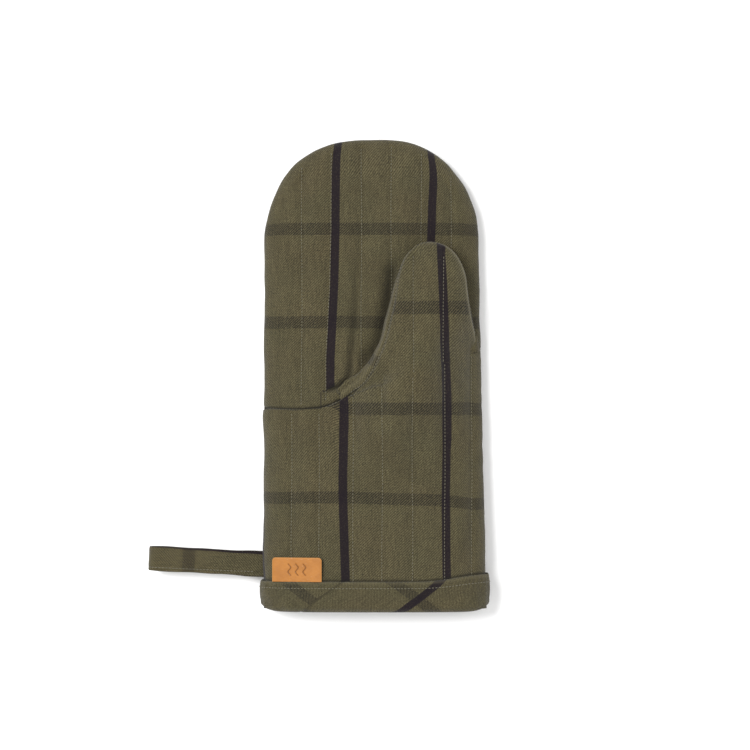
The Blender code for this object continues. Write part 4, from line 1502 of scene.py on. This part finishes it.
def add_label():
    """A leather tab with a plain pressed motif of three wavy lines."""
    low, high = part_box("label")
    low, high = np.array(low) / MM, np.array(high) / MM
    centre = (low + high) / 2 + (0.0, LABEL_SHIFT, 0.0)
    half_x = (high[0] - low[0]) / 2
    half_y = (high[1] - low[1]) / 2
    tilt = (high[2] - low[2] - 1.4) / (2.0 * half_x)
    rows, columns = LABEL_ROWS + 1, LABEL_COLUMNS + 1
    u, v = np.meshgrid(np.linspace(-1.0, 1.0, columns), np.linspace(-1.0, 1.0, rows))
    x = u * half_x
    y = v * half_y
    corner_x = np.maximum(0.0, np.abs(x) - (half_x - LABEL_CORNER))
    corner_y = np.maximum(0.0, y - (half_y - LABEL_CORNER))
    over = np.hypot(corner_x, corner_y)
    pull = np.where(over > 1e-6, np.maximum(corner_x, corner_y) / np.maximum(over, 1e-6), 1.0)
    x = np.sign(x) * (np.abs(x) - corner_x * (1.0 - pull))
    y = y - corner_y * (1.0 - pull)
    edge = np.minimum(half_x - np.abs(u * half_x), half_y - v * half_y)
    mark = np.zeros_like(x)
    for index in (-1, 0, 1):
        middle = index * WAVE_PITCH + WAVE_REACH * np.sin(y * 1.05)
        ends = smooth_step((WAVE_HALF - np.abs(y)) / 0.8)
        mark = np.maximum(mark, fade(x - middle, 0.42) * ends)
    rounding = EDGE_ROUNDING * fade(np.maximum(edge, 0.0), 0.5)
    base = centre[2] + tilt * x - LABEL_BOW * u**2 + LABEL_BOW
    top = base + 0.62 - rounding - PRESSED_DEPTH * mark
    top += 0.03 * undulation(x * 3.0, y * 3.0, 6.0, 2)
    bottom = base - 0.6 + rounding * 0.4
    upper = np.stack([x + centre[0], y + centre[1], top], 2)
    lower = np.stack([x + centre[0], y + centre[1], bottom], 2)
    faces = grid_faces(rows, columns, 0, False)
    faces += grid_faces(rows, columns, rows * columns, True)
    faces += rim_faces(rows, columns, rows * columns, False)
    cloth = np.stack([x, y, np.zeros_like(x)], 2).reshape(-1, 3)
    worn = fade(edge, 0.45).ravel()
    attributes = [
        ("cloth", np.concatenate([cloth, cloth])),
        ("mark", np.concatenate([mark.ravel(), mark.ravel() * 0.0])),
        ("wear_and_shade", np.concatenate([worn, worn])),
    ]
    points = np.concatenate([upper.reshape(-1, 3), lower.reshape(-1, 3)])
    piece = add_mesh("leather_label", points, faces, attributes, leather)
    place_piece(piece, "label", ["label"])


add_label()


# --- Studio ---


FLOOR_REACH = 4.0
WORLD_STRENGTH = 0.68
# Each light's name, place, size and power; both shine at the middle of the mitt
LIGHTS = (
    ("key_light", (-0.85, 0.42, 2.1), 0.9, 50.0),
    ("fill_light", (0.5, -0.4, 2.4), 1.8, 18.0),
)
CAMERA_HEIGHT = 2.4
CAMERA_SENSOR = 36.0
SEEN_WIDTH = 0.5235
SEEN_HEIGHT = 0.03


def add_area(name, place, size, power):
    light = bpy.data.lights.new(name, "AREA")
    light.shape = "DISK"
    light.size = size
    light.energy = power
    obj = bpy.data.objects.new(name, light)
    bpy.context.scene.collection.objects.link(obj)
    obj.location = place
    obj.rotation_euler = (-Vector(place)).to_track_quat("-Z", "Y").to_euler()


def add_studio():
    scene = bpy.context.scene
    mesh = bpy.data.meshes.new("studio_floor")
    corners = ((-1, -1), (1, -1), (1, 1), (-1, 1))
    points = [(x * FLOOR_REACH, y * FLOOR_REACH, 0.0) for x, y in corners]
    mesh.from_pydata(points, [], [(0, 1, 2, 3)])
    n = Nodes("studio_paper")
    grain = n.noise(n.add("TexCoord", "Object"), 900.0)
    n.look(Base_Color=n.blend(grain, *PAPER), Roughness=0.9, Specular_IOR_Level=0.0)
    mesh.materials.append(n.material)
    floor = bpy.data.objects.new("studio_floor", mesh)
    scene.collection.objects.link(floor)
    world = bpy.data.worlds.new("studio_world")
    world.use_nodes = True
    background = world.node_tree.nodes["Background"]
    background.inputs["Color"].default_value = (1.0, 1.0, 1.0, 1.0)
    background.inputs["Strength"].default_value = WORLD_STRENGTH
    scene.world = world
    for light in LIGHTS:
        add_area(*light)
    camera = bpy.data.cameras.new("camera")
    camera.sensor_width = CAMERA_SENSOR
    camera.lens = CAMERA_SENSOR * (CAMERA_HEIGHT - SEEN_HEIGHT) / SEEN_WIDTH
    camera.clip_end = 20.0
    eye = bpy.data.objects.new("camera", camera)
    scene.collection.objects.link(eye)
    eye.location = (0.0, 0.0, CAMERA_HEIGHT)
    scene.camera = eye
    scene.view_settings.view_transform = "Standard"


add_studio()

bpy.context.view_layer.update()
